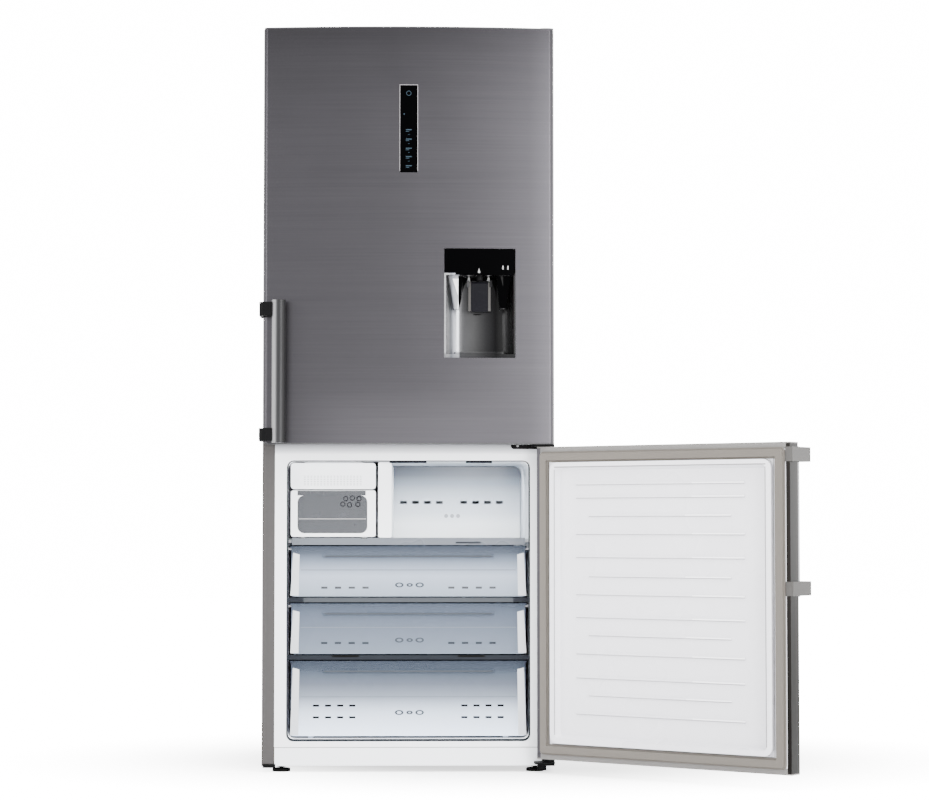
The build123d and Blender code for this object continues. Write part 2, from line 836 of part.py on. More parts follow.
def build_compressor():
    """Sealed pot with its base plate, feet, pipe stub and terminal box."""
    x = compressor_x
    y = machine_middle
    pot_radius = 68
    base_radius = 50
    shoulder_radius = 56
    crown_radius = 30
    pot_rise = 14
    plate_drop = 6
    plate_thickness = 4
    base_rise = 18
    shoulder_drop = 12
    dome_drop = 40
    plate_half_x = 80
    plate_half_y = 64
    plate_corner = 12
    foot_radius = 9
    foot_dx = 66
    foot_dy = 50
    stub_radius = 4
    stub_dy = 16
    stub_reach = 84
    box_half = 24
    box_depth = 14
    box_rise = 44
    box_height = 50
    pot_low = pan_top + pot_rise
    plate_low = pot_low - plate_drop
    plate_high = plate_low + plate_thickness
    box_low = pot_low + box_rise
    box_high = box_low + box_height
    rings = [
        (pot_low, base_radius),
        (pot_low + base_rise, pot_radius),
        (compressor_top - dome_drop, pot_radius),
        (compressor_top - shoulder_drop, shoulder_radius),
        (compressor_top, crown_radius),
    ]
    sections = [Plane(origin=(0, 0, z)) * faceted_disc(x, y, radius) for z, radius in rings]
    pot = flat_sided(sections)
    plate_area = area(x - plate_half_x, x + plate_half_x, y - plate_half_y, y + plate_half_y,
                      plate_corner, 1)
    plate = along_z(plate_area, plate_low, plate_high)
    neck = along_z(faceted_disc(x, y, crown_radius, small_sides), plate_high, pot_low + base_rise)
    feet = []
    for dx in (-foot_dx, foot_dx):
        for dy in (-foot_dy, foot_dy):
            foot = faceted_disc(x + dx, y + dy, foot_radius, small_sides)
            feet.append(along_z(foot, pan_top, plate_low))
    stub = polygon_tube(y + stub_dy, pot_low + stub_reach, stub_radius, x - stub_reach, x - base_radius)
    box_x = x + pot_radius
    box = block(box_x - box_depth, box_x + box_depth, y - box_half, y + box_half, box_low, box_high)
    return pot + plate + neck + feet + stub + box


def coil(x_low, x_high, y_low, y_high, z_low, z_high, end_margin):
    """Finned coil along x: thin fins on four tubes between two end plates."""
    fin = 1
    plate = 4
    tube_radius = 4
    fin_count = 6
    fin_margin = 12
    tube_share = 0.25
    width = y_high - y_low
    height = z_high - z_low
    fins = [block(x, x + fin, y_low, y_high, z_low, z_high)
            for x in shares_between(x_low + fin_margin, x_high - fin_margin, fin_count)]
    tubes = [polygon_tube(y, z, tube_radius, x_low, x_high)
             for y in (y_low + tube_share * width, y_high - tube_share * width)
             for z in (z_low + tube_share * height, z_high - tube_share * height)]
    end_area = area(y_low + end_margin, y_high - end_margin, z_low + end_margin, z_high - end_margin)
    ends = [along_x(end_area, x, x + plate) for x in (x_low, x_high - plate)]
    return joined(fins + tubes + ends)


def build_condenser():
    """Finned coil with the fan's shroud beside it."""
    left_margin = 39
    shroud_reach = 32
    coil_gap = 10
    half_depth = 85
    coil_rise = 18
    coil_drop = 30
    foot_depth = 20
    foot_margin = 7
    foot_end = 8
    foot_overlap = 2
    left = left_margin - foam_inner
    shroud_front = condenser_fan_x - shroud_reach
    right = shroud_front - coil_gap
    low = pan_top + coil_rise
    high = machine_roof - coil_drop
    front = machine_middle - half_depth
    back = machine_middle + half_depth
    body = coil(left, right, front, back, low, high, 2 * coil_gap)
    foot_left = left + foot_margin
    foot_right = right - foot_end
    feet = [block(foot_left, foot_right, y, y + foot_depth, pan_top, low + foot_overlap)
            for y in (front, back - foot_depth)]
    plate = 4
    shroud_half = 87
    shroud_drop = 22
    mouth_radius = 62
    spoke_half = 6
    bearing_radius = 16
    bearing_length = 22
    shroud_top = machine_roof - shroud_drop
    fan_z = condenser_fan_z
    middle = machine_middle
    panel = area(middle - shroud_half, middle + shroud_half, pan_top, shroud_top)
    spoke_reach = mouth_radius + plate
    spoke = area(middle - spoke_half, middle + spoke_half, fan_z - spoke_reach, fan_z + spoke_reach)
    mouth = faceted_disc(middle, fan_z, mouth_radius)
    shroud = along_x(panel - mouth + spoke, shroud_front, shroud_front + plate)
    bearing = along_x(faceted_disc(middle, fan_z, bearing_radius, 2 * small_sides), shroud_front,
                      shroud_front + bearing_length)
    bore = along_x(disc(middle, fan_z, small_pin + running_gap), shroud_front - plate, condenser_fan_x)
    return group(body + feet, shroud + bearing - bore)


def fan(hub_radius, hub_length, tip_radius, chord, shaft_length):
    """Axial fan turning about z, its hub centred on the origin and its shaft below."""
    blade_count = 5
    root = 3
    pitch = 32
    thickness = 2
    span = tip_radius - hub_radius + root
    middle = hub_radius - root + span / 2
    blade = Pos(middle, 0, 0) * Rot(pitch, 0, 0) * Box(span, chord, thickness)
    blades = [Rot(0, 0, index * 360 / blade_count) * blade for index in range(blade_count)]
    half = hub_length / 2
    hub = along_z(faceted_disc(0, 0, hub_radius, 2 * small_sides), -half, half)
    shaft = along_z(disc(0, 0, small_pin), -half - shaft_length, 0)
    return hub + blades + shaft


def build_condenser_fan():
    """Fan that blows through the condenser."""
    hub_radius = 15
    hub_length = 16
    tip_radius = 56
    chord = 26
    turning = fan(hub_radius, hub_length, tip_radius, chord, hub_length)
    return Pos(condenser_fan_x, machine_middle, condenser_fan_z) * Rot(0, 90, 0) * turning


def build_freezer_fan():
    """Fan behind the evaporator cover."""
    hub_radius = 13
    hub_length = 14
    tip_radius = 42
    chord = 20
    shaft_length = 12
    setback = 32
    turning = fan(hub_radius, hub_length, tip_radius, chord, shaft_length)
    place = Pos(freezer_fan_x, cover_front + setback, freezer_fan_z)
    return place * Rot(90, 0, 0) * Rot(0, 180, 0) * turning


def build_drain_tray():
    """Evaporation tray carried on top of the compressor."""
    half = 73
    depth = 40
    top_gap = 8
    corner = 10
    lean = 6
    wall = 2
    leg_half = 19
    x = compressor_x
    y = machine_middle
    low = machine_roof - depth
    high = machine_roof - top_gap
    leg = block(x - leg_half, x + leg_half, y - leg_half, y + leg_half, compressor_top, low + wall)
    return tub((x - half, x + half, y - half, y + half), low, high, corner, lean, wall) + leg


def build_compressor_cover():
    """Rear plate with cooling slots."""
    thickness = 2
    half = foam_inner - sheet
    slot_width = 44
    slot_height = 8
    slot_pitch = 60
    row_pitch = 40
    row_count = 4
    column_count = 3
    first_share = 1.75
    row_drop = 40
    first_row = machine_roof - row_drop
    back = machine_back + thickness
    plate = block(-half, half, machine_back, back, pan_bottom, machine_roof)
    centres = [side * (slot_pitch * (column + first_share))
               for column in range(column_count) for side in (-1, 1)]
    rows = []
    for row in range(row_count):
        z = first_row - row * row_pitch
        rows.extend(slots(centres, z, slot_width, slot_height, machine_back - thickness, back + thickness))
    return plate - rows


def build_back_panel():
    """Thin sheet that closes the back above the machine compartment."""
    return block(-foam_outer, foam_outer, rear - sheet, rear, machine_roof, cabinet_top - sheet)


def build_evaporator():
    """Finned cold coil behind the freezer's back cover."""
    side_margin = 53
    half = foam_inner - side_margin
    depth = 48
    back_gap = 10
    rise = 56
    drop = 151
    hanger = 8
    hanger_rise = 70
    hanger_height = 20
    low = step_floor + rise
    high = freezer_ceiling - drop
    hanger_low = low + hanger_rise
    hanger_high = hanger_low + hanger_height
    back = cavity_back - back_gap
    body = coil(-half, half, back - depth, back, low, high, small_pin)
    hangers = both_sides(block(half - hanger, half, back - hanger, cavity_back, hanger_low, hanger_high))
    return body + hangers


def slot_centres(middles, pitch):
    """Places of slots in groups of four round the given middles."""
    count = 4
    middle_index = (count - 1) / 2
    return [middle + (index - middle_index) * pitch for middle in middles for index in range(count)]


def build_evaporator_cover():
    """White panel in front of the cold coil, with air slots and the fan's bearing."""
    thickness = 3
    side_gap = 1.5
    corner = 16
    slot_drop = 94
    slot_width = 18
    slot_height = 8
    slot_pitch = 31
    group_middles = (32, 188)
    hole_drop = 129
    hole_radius = 3
    hole_middle = 111.5
    hole_pitch = 15.5
    boss_radius = 9
    boss_length = 19
    half = opening_half - side_gap
    front = cover_front
    back = front + thickness
    panel = along_y(area(-half, half, step_floor + 2 * sheet, freezer_ceiling - sheet, corner), front, back)
    centres = slot_centres(group_middles, slot_pitch)
    upper = slots(centres, freezer_ceiling - slot_drop, slot_width, slot_height, front - thickness,
                  back + thickness)
    holes = []
    for index in (-1, 0, 1):
        x = hole_middle + index * hole_pitch
        hole = faceted_disc(x, freezer_ceiling - hole_drop, hole_radius, small_sides)
        holes.append(along_y(hole, front - thickness, back + thickness))
    fan_area = faceted_disc(freezer_fan_x, freezer_fan_z, boss_radius, 2 * small_sides)
    boss = along_y(fan_area, back, back + boss_length)
    bore = along_y(disc(freezer_fan_x, freezer_fan_z, small_pin + running_gap), back, back + overrun)
    return panel + boss - upper - holes - bore


def build_air_duct():
    """Tall air channel on the fridge's back wall."""
    wall = 2
    half = 110
    depth = 24
    bevel = 8
    top_gap = 39
    top = fridge_ceiling - top_gap
    side_wall = 5 * wall
    front = cavity_back - depth
    outlet_x = 50
    outlet_width = 50
    outlet_height = 9
    outside = along_z(area(-half, half, front, cavity_back), fridge_floor, top)
    outside = chamfer(outside.edges().filter_by(Axis.Z).group_by(Axis.Y)[0], bevel)
    inside = block(side_wall - half, half - side_wall, front + wall, cavity_back - wall, fridge_floor,
                   top - side_wall)
    outlets = []
    for low, high in zip(fridge_ledges, fridge_ledges[1:] + [top]):
        middle = (low + high) / 2
        outlets.extend(slots([-outlet_x, outlet_x], middle, outlet_width, outlet_height, front - wall,
                             front + 2 * wall))
    return outside - inside - outlets


def build_fridge_lamp():
    """Light cover on the fridge's ceiling."""
    half = 110
    setback = 230
    front = face + setback
    depth = 40
    height = 7
    corner = 8
    bevel = 3
    outline = area(-half, half, front, front + depth, corner)
    lens = along_z(outline, fridge_ceiling - height, fridge_ceiling)
    return chamfer(lens.edges().group_by(Axis.Z)[0], bevel)


def fridge_plate(ledge):
    """One glass plate of the fridge, given by the ledge that carries it."""
    side_gap = 3
    front_margin = 134
    back_margin = 32
    half = opening_half - side_gap
    front = face + front_margin
    back = cavity_back - back_margin
    return block(-half, half, front, back, ledge + fit_gap, ledge + shelf_glass)


def build_fridge_glass():
    """Glass plates of the fridge, the lowest one over the crispers."""
    return group([fridge_plate(ledge) for ledge in fridge_ledges])


def build_fridge_trims():
    """Front edges clipped on the fridge's glass plates."""
    side_gap = 10
    front_margin = 120
    half = opening_half - side_gap
    front = face + front_margin
    depth = 20
    below = 6
    above = 10
    soft = 3
    trims = []
    for ledge in fridge_ledges:
        trim = along_x(area(front, front + depth, ledge - below, ledge + above, soft, 2), -half, half)
        trims.append(trim - fridge_plate(ledge))
    return group(trims)


def build_crisper(x_low, x_high):
    """Clear salad drawer with a grip lip."""
    front_margin = 160
    back_margin = 62
    floor_gap = 3
    rim_drop = 26
    panel_drop = 20
    panel_corner = 6
    panel_reach = 4
    panel_depth = 3
    basin_setback = 2
    side_gap = 4
    corner = 14
    lean = 8
    wall = 3
    lip_inset = 50
    lip_depth = 10
    lip_drop = 24
    lip_slope = 4
    lip_height = 8
    skid_inset = 40
    skid_width = 12
    skid_margin = 10
    front = face + front_margin
    back = cavity_back - back_margin
    low = fridge_floor + floor_gap
    rim = crisper_ledge - rim_drop
    panel_top = crisper_ledge - panel_drop
    panel_front = front - panel_reach
    panel_back = front + panel_depth
    lip_top = panel_top - lip_drop
    limits = (x_low + side_gap, x_high - side_gap, front + basin_setback, back)
    basin = tub(limits, low, rim, corner, lean, wall)
    panel = along_y(area(x_low, x_high, low, panel_top, panel_corner), panel_front, panel_back)
    lip_front = panel_front - lip_depth
    lip_points = [
        (panel_front, lip_top),
        (lip_front, lip_top - lip_slope),
        (lip_front, lip_top - lip_slope - lip_height),
        (panel_front, lip_top - 2 * lip_slope - lip_height),
    ]
    lip = along_x(Polygon(*lip_points, align=None), x_low + lip_inset, x_high - lip_inset)
    skid_top = low + wall + sheet
    skid_low = fridge_floor + clearance
    skids = [block(x, x + skid_width, front + skid_margin, back - skid_margin, skid_low, skid_top)
             for x in (x_low + skid_inset, x_high - skid_inset - skid_width)]
    return basin + panel + lip + skids


def build_freezer_glass():
    """Glass plate above the upper freezer drawer."""
    side_gap = 2
    front_margin = 10
    back_margin = 4
    half = opening_half - side_gap
    front = fittings_front + front_margin
    back = cover_front - back_margin
    return block(-half, half, front, back, glass_low, glass_top)


def runner_places():
    """Both runners of the ice bin, each from its left to its right side."""
    spacing = 74
    half = 5
    return [(ice_axis_x + side * spacing - half, ice_axis_x + side * spacing + half) for side in (-1, 1)]


def build_freezer_trim():
    """Front edge clipped on the freezer's glass plate, with notches for the ice bin's runners."""
    side_gap = 9
    half = opening_half - side_gap
    depth = 16
    below = 11
    above = 2
    back = fittings_front + depth
    trim = along_x(area(fittings_front, back, glass_low - below, glass_top + above), -half, half)
    notches = [block(left - sheet, right + sheet, fittings_front - sheet, back + sheet, glass_top,
                     glass_top + 2 * above) for left, right in runner_places()]
    return trim - build_freezer_glass() - notches


def build_ice_maker():
    """Front panel, drive box, side rails and rear bearing of the ice maker."""
    top_gap = 3
    panel_drop = 30
    panel_corner = 8
    panel_depth = 4
    inset = 7
    drive_depth = 40
    drive_lift = 2
    rail = 5
    rail_drop = 15
    bore_margin = 10
    rear_length = 280
    rear_thickness = 6
    hanger_inset = 33
    hanger_depth = 28
    top = freezer_ceiling - top_gap
    panel_low = ice_axis_z - panel_drop
    rail_low = ice_axis_z - rail_drop
    left = ice_x_low + inset
    right = ice_x_high - inset
    front = fittings_front
    panel_back = front + panel_depth
    drive_back = panel_back + drive_depth
    rear = front + rear_length
    panel = along_y(area(ice_x_low, ice_x_high, panel_low, top, panel_corner), front, panel_back)
    drive = block(left, right, panel_back, drive_back, panel_low + drive_lift, top)
    rails = [block(x, x + rail, drive_back, rear, rail_low, top) for x in (left, right - rail)]
    rear_wall = block(left, right, rear - panel_depth, rear - panel_depth + rear_thickness, rail_low, top)
    hangers = block(ice_x_low + hanger_inset, ice_x_high - hanger_inset, panel_back + rear_thickness,
                    panel_back + rear_thickness + hanger_depth, top, freezer_ceiling)
    bore = along_y(disc(ice_axis_x, ice_axis_z, small_pin + running_gap), drive_back - bore_margin,
                   rear + bore_margin)
    return panel + drive + rails + rear_wall + hangers - bore


def build_divider():
    """Upright wall between the ice maker and the open shelf."""
    gap = 6
    width = 32.5
    corner = 4
    foot_gap = 2.5
    back_gap = 10
    low = glass_top + foot_gap
    left = ice_x_high + gap
    return along_y(area(left, left + width, low, freezer_ceiling - sheet, corner, 2), fittings_front,
                   cover_front - back_gap)


def build_ice_tray():
    """Tray of cups that turns over to drop its ice."""
    half = 29
    setback = 50
    front = fittings_front + setback
    length = 220
    rise = 9
    rim = 3
    cup_count = 7
    cup_pitch = 30
    cup_length = 26
    cup_inset = 6
    cup_floor = 6
    web_half = 1.5
    pin_reach = 12
    rear_pin = 11
    x = ice_axis_x
    z = ice_axis_z
    back = front + length
    body = block(x - half, x + half, front, back, z - rise, z + rise)
    cups = []
    for row in range(cup_count):
        y = front + cup_inset + row * cup_pitch
        cups.append(block(x - half + rim, x - web_half, y, y + cup_length, z - cup_floor, z + rise + rim))
        cups.append(block(x + web_half, x + half - rim, y, y + cup_length, z - cup_floor, z + rise + rim))
    pin = disc(x, z, small_pin)
    return body - cups + along_y(pin, front - pin_reach, front) + along_y(pin, back, back + rear_pin)


def ice_window_area(shrink):
    """Outline of the bin's window, made smaller by shrink."""
    left_margin = 16
    right_margin = 20
    low_margin = 13
    high_margin = 45
    left = ice_x_low + left_margin + shrink
    right = ice_x_high - right_margin - shrink
    low = glass_top + low_margin + shrink
    high = ice_axis_z - high_margin - shrink
    corner = 16
    return area(left, right, low, high, corner - shrink)


def build_ice_bin():
    """Bin under the ice maker, with a window opening in its front."""
    lift = 4.5
    panel_drop = 33
    inset = 6.5
    panel_setback = 2
    panel_depth = 8
    basin_overlap = 2
    length = 280
    panel_corner = 6
    corner = 12
    lean = 6
    wall = 2.5
    foot_margin = 12
    foot_end = 20
    low = glass_top + lift
    panel_top = ice_axis_z - panel_drop
    rim = panel_top - sheet
    panel_front = fittings_front + panel_setback
    panel_back = panel_front + panel_depth
    back = fittings_front + length
    foot_back = back - foot_end
    limits = (ice_x_low + inset, ice_x_high - inset, panel_back - basin_overlap, back)
    basin = tub(limits, low, rim, corner, lean, wall)
    panel = along_y(area(ice_x_low, ice_x_high, low, panel_top, panel_corner), panel_front, panel_back)
    feet = [block(left, right, panel_back + foot_margin, foot_back, glass_top + fit_gap, low + sheet)
            for left, right in runner_places()]
    window = along_y(ice_window_area(0), panel_front - wall, panel_back + 4 * wall)
    return basin + panel + feet - window


def build_ice_window():
    """Tinted clear window of the ice bin."""
    setback = 2.5
    front = fittings_front + setback
    thickness = 2.5
    return along_y(ice_window_area(0), front, front + thickness)


def build_drawer(z_low, z_high, y_back, slot_rows):
    """Clear freezer drawer with a slotted front."""
    tub_side_gap = 17
    rim_side_gap = 5
    basin_setback = 2
    wall = 2.5
    panel_depth = 3
    corner = 14
    lean = 9
    panel_corner = 6
    back_rim = 12
    slot_width = 15
    slot_height = 5
    grip_share = 0.73
    grip_drop = 20
    grip_depth = 5
    grip_slope = 2
    grip_height = 3
    half = opening_half - drawer_side_gap
    tub_half = opening_half - tub_side_gap
    rim_half = opening_half - rim_side_gap
    front = fittings_front
    grip_half = half * grip_share
    grip_top = z_high - grip_drop
    rim_low = z_high - drawer_rim
    panel_back = front + panel_depth
    basin = tub((-tub_half, tub_half, front + basin_setback, y_back), z_low, rim_low, corner, lean, wall)
    panel = along_y(area(-half, half, z_low, z_high, panel_corner), front, panel_back)
    ledge = block(tub_half - wall, rim_half, front + sheet, y_back, rim_low, z_high)
    back_ledge = block(-rim_half, rim_half, y_back - back_rim, y_back, rim_low, z_high)
    grip_points = [
        (front, grip_top),
        (front - grip_depth, grip_top - grip_slope),
        (front - grip_depth, grip_top - grip_slope - grip_height),
        (front, grip_top - 2 * grip_slope - grip_height - sheet),
    ]
    grip = along_x(Polygon(*grip_points, align=None), -grip_half, grip_half)
    cuts = []
    for centres, z in slot_rows:
        cuts.extend(slots(centres, z, slot_width, slot_height, front - panel_depth, panel_back + sheet))
    return basin + panel + both_sides(ledge) + back_ledge + grip - cuts


def build_lower_drawer():
    """Shallow lowest drawer, which runs on skids on the freezer's floor."""
    middle_share = 0.633
    pitch = 29
    low_row = 44.5
    high_row = 72.5
    skid_inset = 49
    skid_width = 12
    skid_front_margin = 15
    skid_back_margin = 20
    skid_overlap = 2
    back_gap = 20
    middle = (opening_half - drawer_side_gap) * middle_share
    centres = slot_centres((-middle, middle), pitch)
    rows = [(centres, lower_drawer_low + high_row), (centres, lower_drawer_low + low_row)]
    back = step_wall - back_gap
    skid_right = opening_half - skid_inset
    skid_front = fittings_front + skid_front_margin
    skid_back = back - skid_back_margin
    skid = block(skid_right - skid_width, skid_right, skid_front, skid_back, freezer_floor + clearance,
                 lower_drawer_low + skid_overlap)
    return build_drawer(lower_drawer_low, lower_drawer_high, back, rows) + both_sides(skid)


def build_deep_drawer(z_low, z_high, row_rise):
    """One of the two drawers that hang on ledges above the step."""
    middle_share = 0.543
    pitch = 33
    back_gap = 40
    middle = (opening_half - drawer_side_gap) * middle_share
    centres = slot_centres((-middle, middle), pitch)
    return build_drawer(z_low, z_high, cover_front - back_gap, [(centres, z_low + row_rise)])


def niche_block(margin, y_low, y_high, z_low, z_high):
    """Part of the bowed door front in the dispenser's width."""
    shape = along_z(door_outline(0), z_low, z_high)
    return shape & block(niche_x_low + margin, niche_x_high - margin, y_low, y_high, z_low, z_high)


def twin(shape):
    """Mirror image of a dispenser piece on the other side of the niche's middle."""
    return Pos(2 * niche_middle, 0, 0) * mirror(shape, about=Plane.YZ)


def build_dispenser_housing():
    """Curved niche of the dispenser with two hanging guides and the lever's ears."""
    wall = 4
    curve = 42
    back_outer = niche_back + niche_wall
    low = niche_z_low + fit_gap
    high = niche_z_high - fit_gap
    ceiling = strip_z_low - wall
    outer = niche_block(fit_gap, door_crown - wall, door_back, low, high)
    outer = outer + block(niche_x_low + fit_gap, niche_x_high - fit_gap, door_back, back_outer, low, high)
    hollow_area = area(niche_x_low + wall, niche_x_high - wall, door_crown - 2 * overrun, niche_back, curve)
    hollow = along_z(hollow_area, niche_z_low + niche_floor, ceiling)
    pocket = block(niche_x_low - wall, niche_x_high + wall, door_crown - wall, strip_back, strip_z_low,
                   niche_z_high + wall)
    guide_height = 80
    guide_far = 76
    guide_near = 40
    foot_far = 62
    foot_near = 48
    guide_corner = 6
    guide_back = niche_back - wall
    left = niche_middle
    foot_area = area(left - foot_far, left - foot_near, strip_back, guide_back, guide_corner)
    top_area = area(left - guide_far, left - guide_near, strip_back, guide_back, guide_corner)
    guide = leaning_block(foot_area, ceiling - guide_height, top_area, ceiling + sheet)
    ear_far = 30
    ear_near = 24
    ear_half = 8
    ear_reach = 6
    ear_front = lever_axis_y - ear_reach
    ear = block(left - ear_far, left - ear_near, ear_front, niche_back + sheet, lever_axis_z - ear_half,
                lever_axis_z + ear_half)
    bore_area = disc(lever_axis_y, lever_axis_z, small_pin + running_gap)
    bore = along_x(bore_area, left - guide_near, left + guide_near)
    return outer - hollow - pocket + guide + twin(guide) + ear + twin(ear) - bore


def build_dispenser_panel():
    """Glossy control strip above the niche."""
    return niche_block(fit_gap, door_crown - sheet, strip_back - fit_gap, strip_z_low + fit_gap,
                       niche_z_high - fit_gap)


def build_dispenser_nozzle():
    """Water outlet under the control strip."""
    radius = 8
    bore_radius = 3
    length = 12
    bore_margin = 4
    drop = 4
    high = strip_z_low - drop
    low = high - length
    outlet = along_z(faceted_disc(niche_middle, strip_back, radius, 2 * small_sides), low, high)
    bore = along_z(faceted_disc(niche_middle, strip_back, bore_radius, small_sides), low - sheet,
                   high - bore_margin)
    return outlet - bore


def build_dispenser_tray():
    """Removable drip tray on the niche's floor."""
    half = 62
    front_reach = 12
    front = strip_back - front_reach
    depth = 42
    corner = 10
    floor = niche_z_low + niche_floor
    height = 6
    slot_half = 50
    slot_floor = 3
    slot_over = 2
    slot_margin = 6
    slot_count = 5
    slot_pitch = 7
    slot_width = 2.5
    plate_area = area(niche_middle - half, niche_middle + half, front, front + depth, corner)
    plate = along_z(plate_area, floor, floor + height)
    cuts = []
    for index in range(slot_count):
        y = front + slot_margin + index * slot_pitch
        cuts.append(block(niche_middle - slot_half, niche_middle + slot_half, y, y + slot_width,
                          floor + slot_floor, floor + height + slot_over))
    return plate - cuts


def build_lever():
    """Push lever of the dispenser, hung on its pin."""
    half = 20.2
    pin_half = 29
    barrel_radius = 5
    plate_depth = 6
    plate_drop = 67.5
    plate_rise = 4
    corner = 4
    front_reach = 4
    front = lever_axis_y - front_reach
    x = niche_middle
    z = lever_axis_z
    plate_area = area(x - half, x + half, z - plate_drop, z + plate_rise, corner, 2)
    plate = along_y(plate_area, front, front + plate_depth)
    barrel = along_x(faceted_disc(lever_axis_y, z, barrel_radius, 2 * small_sides), x - half, x + half)
    pin = along_x(disc(lever_axis_y, z, small_pin), x - pin_half, x + pin_half)
    return plate + barrel + pin


def build_upper_liner():
    """Foam-filled inner side of the upper door, with its dykes and the niche's bulge."""
    fill = door_fill(upper_door_low, upper_door_high)
    dyke_depth = 26
    bar_depth = 20
    top_bar = 14
    low_bar = 10
    bulge_margin = 14
    bulge_corner = 10
    bulge_depth = 23
    bulge_back = face + bulge_depth
    dyke = block(dyke_inner, dyke_outer, door_back, door_back + dyke_depth, dyke_low, dyke_high)
    bars = [block(-dyke_inner, dyke_inner, door_back, door_back + bar_depth, z, z + thickness)
            for z, thickness in ((dyke_high - top_bar, top_bar), (dyke_low, low_bar))]
    bulge_area = area(niche_x_low - bulge_margin, niche_x_high + bulge_margin, niche_z_low - bulge_margin,
                      niche_z_high + bulge_margin, bulge_corner)
    bulge = along_y(bulge_area, door_back, bulge_back)
    core = fill + both_sides(dyke) + bars + bulge
    niche = block(niche_x_low, niche_x_high, door_crown - overrun, niche_back + niche_wall + fit_gap,
                  niche_z_low, niche_z_high)
    half = display_half + clearance
    display = block(-half, half, door_crown - overrun, display_back + fit_gap, display_z_low - clearance,
                    display_z_high + clearance)
    return core - niche - display


def build_upper_skin():
    """Steel skin of the upper door with its two cut-outs."""
    front = door_crown - overrun
    cut_depth = 6
    back = door_side_front + cut_depth
    niche = block(niche_x_low, niche_x_high, front, back, niche_z_low, niche_z_high)
    display = block(-display_half, display_half, front, back, display_z_low, display_z_high)
    return door_skin(upper_door_low, upper_door_high) - niche - display


def build_display():
    """Dark glass strip of the touch display."""
    half = display_half - fit_gap
    bowed = along_z(door_outline(0), display_z_low + fit_gap, display_z_high - fit_gap)
    return bowed & block(-half, half, door_crown - overrun, display_back, display_z_low, display_z_high)


def build_bins():
    """Clear shelves on the inner side of the upper door."""
    reach = 95
    corner = 12
    lean = 4
    wall = 3
    low_rise = 11
    low_height = 107
    middle_rise = 53
    middle_height = 100
    high_drop = 190
    high_height = 90
    half = dyke_inner - clearance
    back = face + reach
    places = [(dyke_low + low_rise, low_height), (niche_z_high + middle_rise, middle_height),
              (dyke_high - high_drop, high_height)]
    limits = (-half, half, door_back + fit_gap, back)
    return group([tub(limits, low, low + height, corner, lean, wall) for low, height in places])


def build_freezer_door_liner():
    """White moulded inner side of the freezer door: raised ridge, sunk field and low ribs."""
    fill = door_fill(freezer_door_low, freezer_door_high)
    side_margin = 44
    low_margin = 40
    high_margin = 38
    side = door_half - side_margin
    low = freezer_door_low + low_margin
    high = freezer_door_high - high_margin
    raise_height = 10
    ridge_corner = 20
    ridge_width = 12
    mouth_corner = 12
    slope = 7
    field_corner = 8
    sink = 8
    crest = door_back + raise_height
    field = door_back - sink
    ridge = along_y(area(-side, side, low, high, ridge_corner), door_back, crest)
    inset = ridge_width + slope
    plane_crest = Plane(origin=(0, crest, 0), x_dir=(1, 0, 0), z_dir=(0, -1, 0))
    plane_field = Plane(origin=(0, field, 0), x_dir=(1, 0, 0), z_dir=(0, -1, 0))
    wide = area(ridge_width - side, side - ridge_width, low + ridge_width, high - ridge_width, mouth_corner)
    narrow = area(inset - side, side - inset, low + inset, high - inset, field_corner)
    basin = flat_sided([plane_crest * wide, plane_field * narrow])
    return fill + ridge - basin + build_door_ribs(low, high, field)


def build_door_ribs(low, high, field):
    """Low ribs on the sunk field, in one single rib and four groups of three."""
    rib_shift = 5.5
    long_half = 230.5
    short_half = 194.5
    rib_half = 3
    rib_rise = 2.5
    rib_shares = [(0.923,), (0.876, 0.811, 0.747), (0.665, 0.597, 0.533), (0.452, 0.389, 0.323),
                  (0.238, 0.1765, 0.11)]
    shapes = []
    for shares in rib_shares:
        for index, share in enumerate(shares):
            half = short_half if index == 1 else long_half
            z = low + share * (high - low)
            outline = area(rib_shift - half, rib_shift + half, z - rib_half, z + rib_half, rib_rise, 1)
            shapes.append(along_y(outline, field, field + rib_rise))
    return shapes


def swung(shape):
    """Turn a piece of the freezer door from closed to its open place."""
    turn = Pos(hinge_x, hinge_y, 0) * Rot(0, 0, freezer_door_angle) * Pos(-hinge_x, -hinge_y, 0)
    return turn * shape


def cabinet_nodes():
    """The fixed pieces of the cabinet by name."""
    return {
        "outer_wrapper": build_wrapper(),
        "back_panel": build_back_panel(),
        "base_frame": build_base_frame(),
        "foam_insulation": build_foam(),
        "fridge_liner": build_fridge_liner(),
        "freezer_liner": build_freezer_liner(),
        "centre_rail": build_centre_rail(),
        "kick_panel": build_kick_panel(),
        "top_hinge": build_top_hinge(),
        "top_hinge_cover": build_hinge_cover(),
        "middle_hinge": build_middle_hinge(),
        "bottom_hinge": build_bottom_hinge(),
        "hinge_screws": build_hinge_screws(),
        "compressor": build_compressor(),
        "condenser": build_condenser(),
        "drain_tray": build_drain_tray(),
        "compressor_cover": build_compressor_cover(),
        "evaporator": build_evaporator(),
        "evaporator_cover": build_evaporator_cover(),
        "fridge_air_duct": build_air_duct(),
        "fridge_lamp": build_fridge_lamp(),
        "fridge_shelf_glass": build_fridge_glass(),
        "fridge_shelf_trims": build_fridge_trims(),
        "freezer_shelf_glass": build_freezer_glass(),
        "freezer_shelf_trim": build_freezer_trim(),
        "ice_maker_housing": build_ice_maker(),
        "compartment_divider": build_divider(),
    }


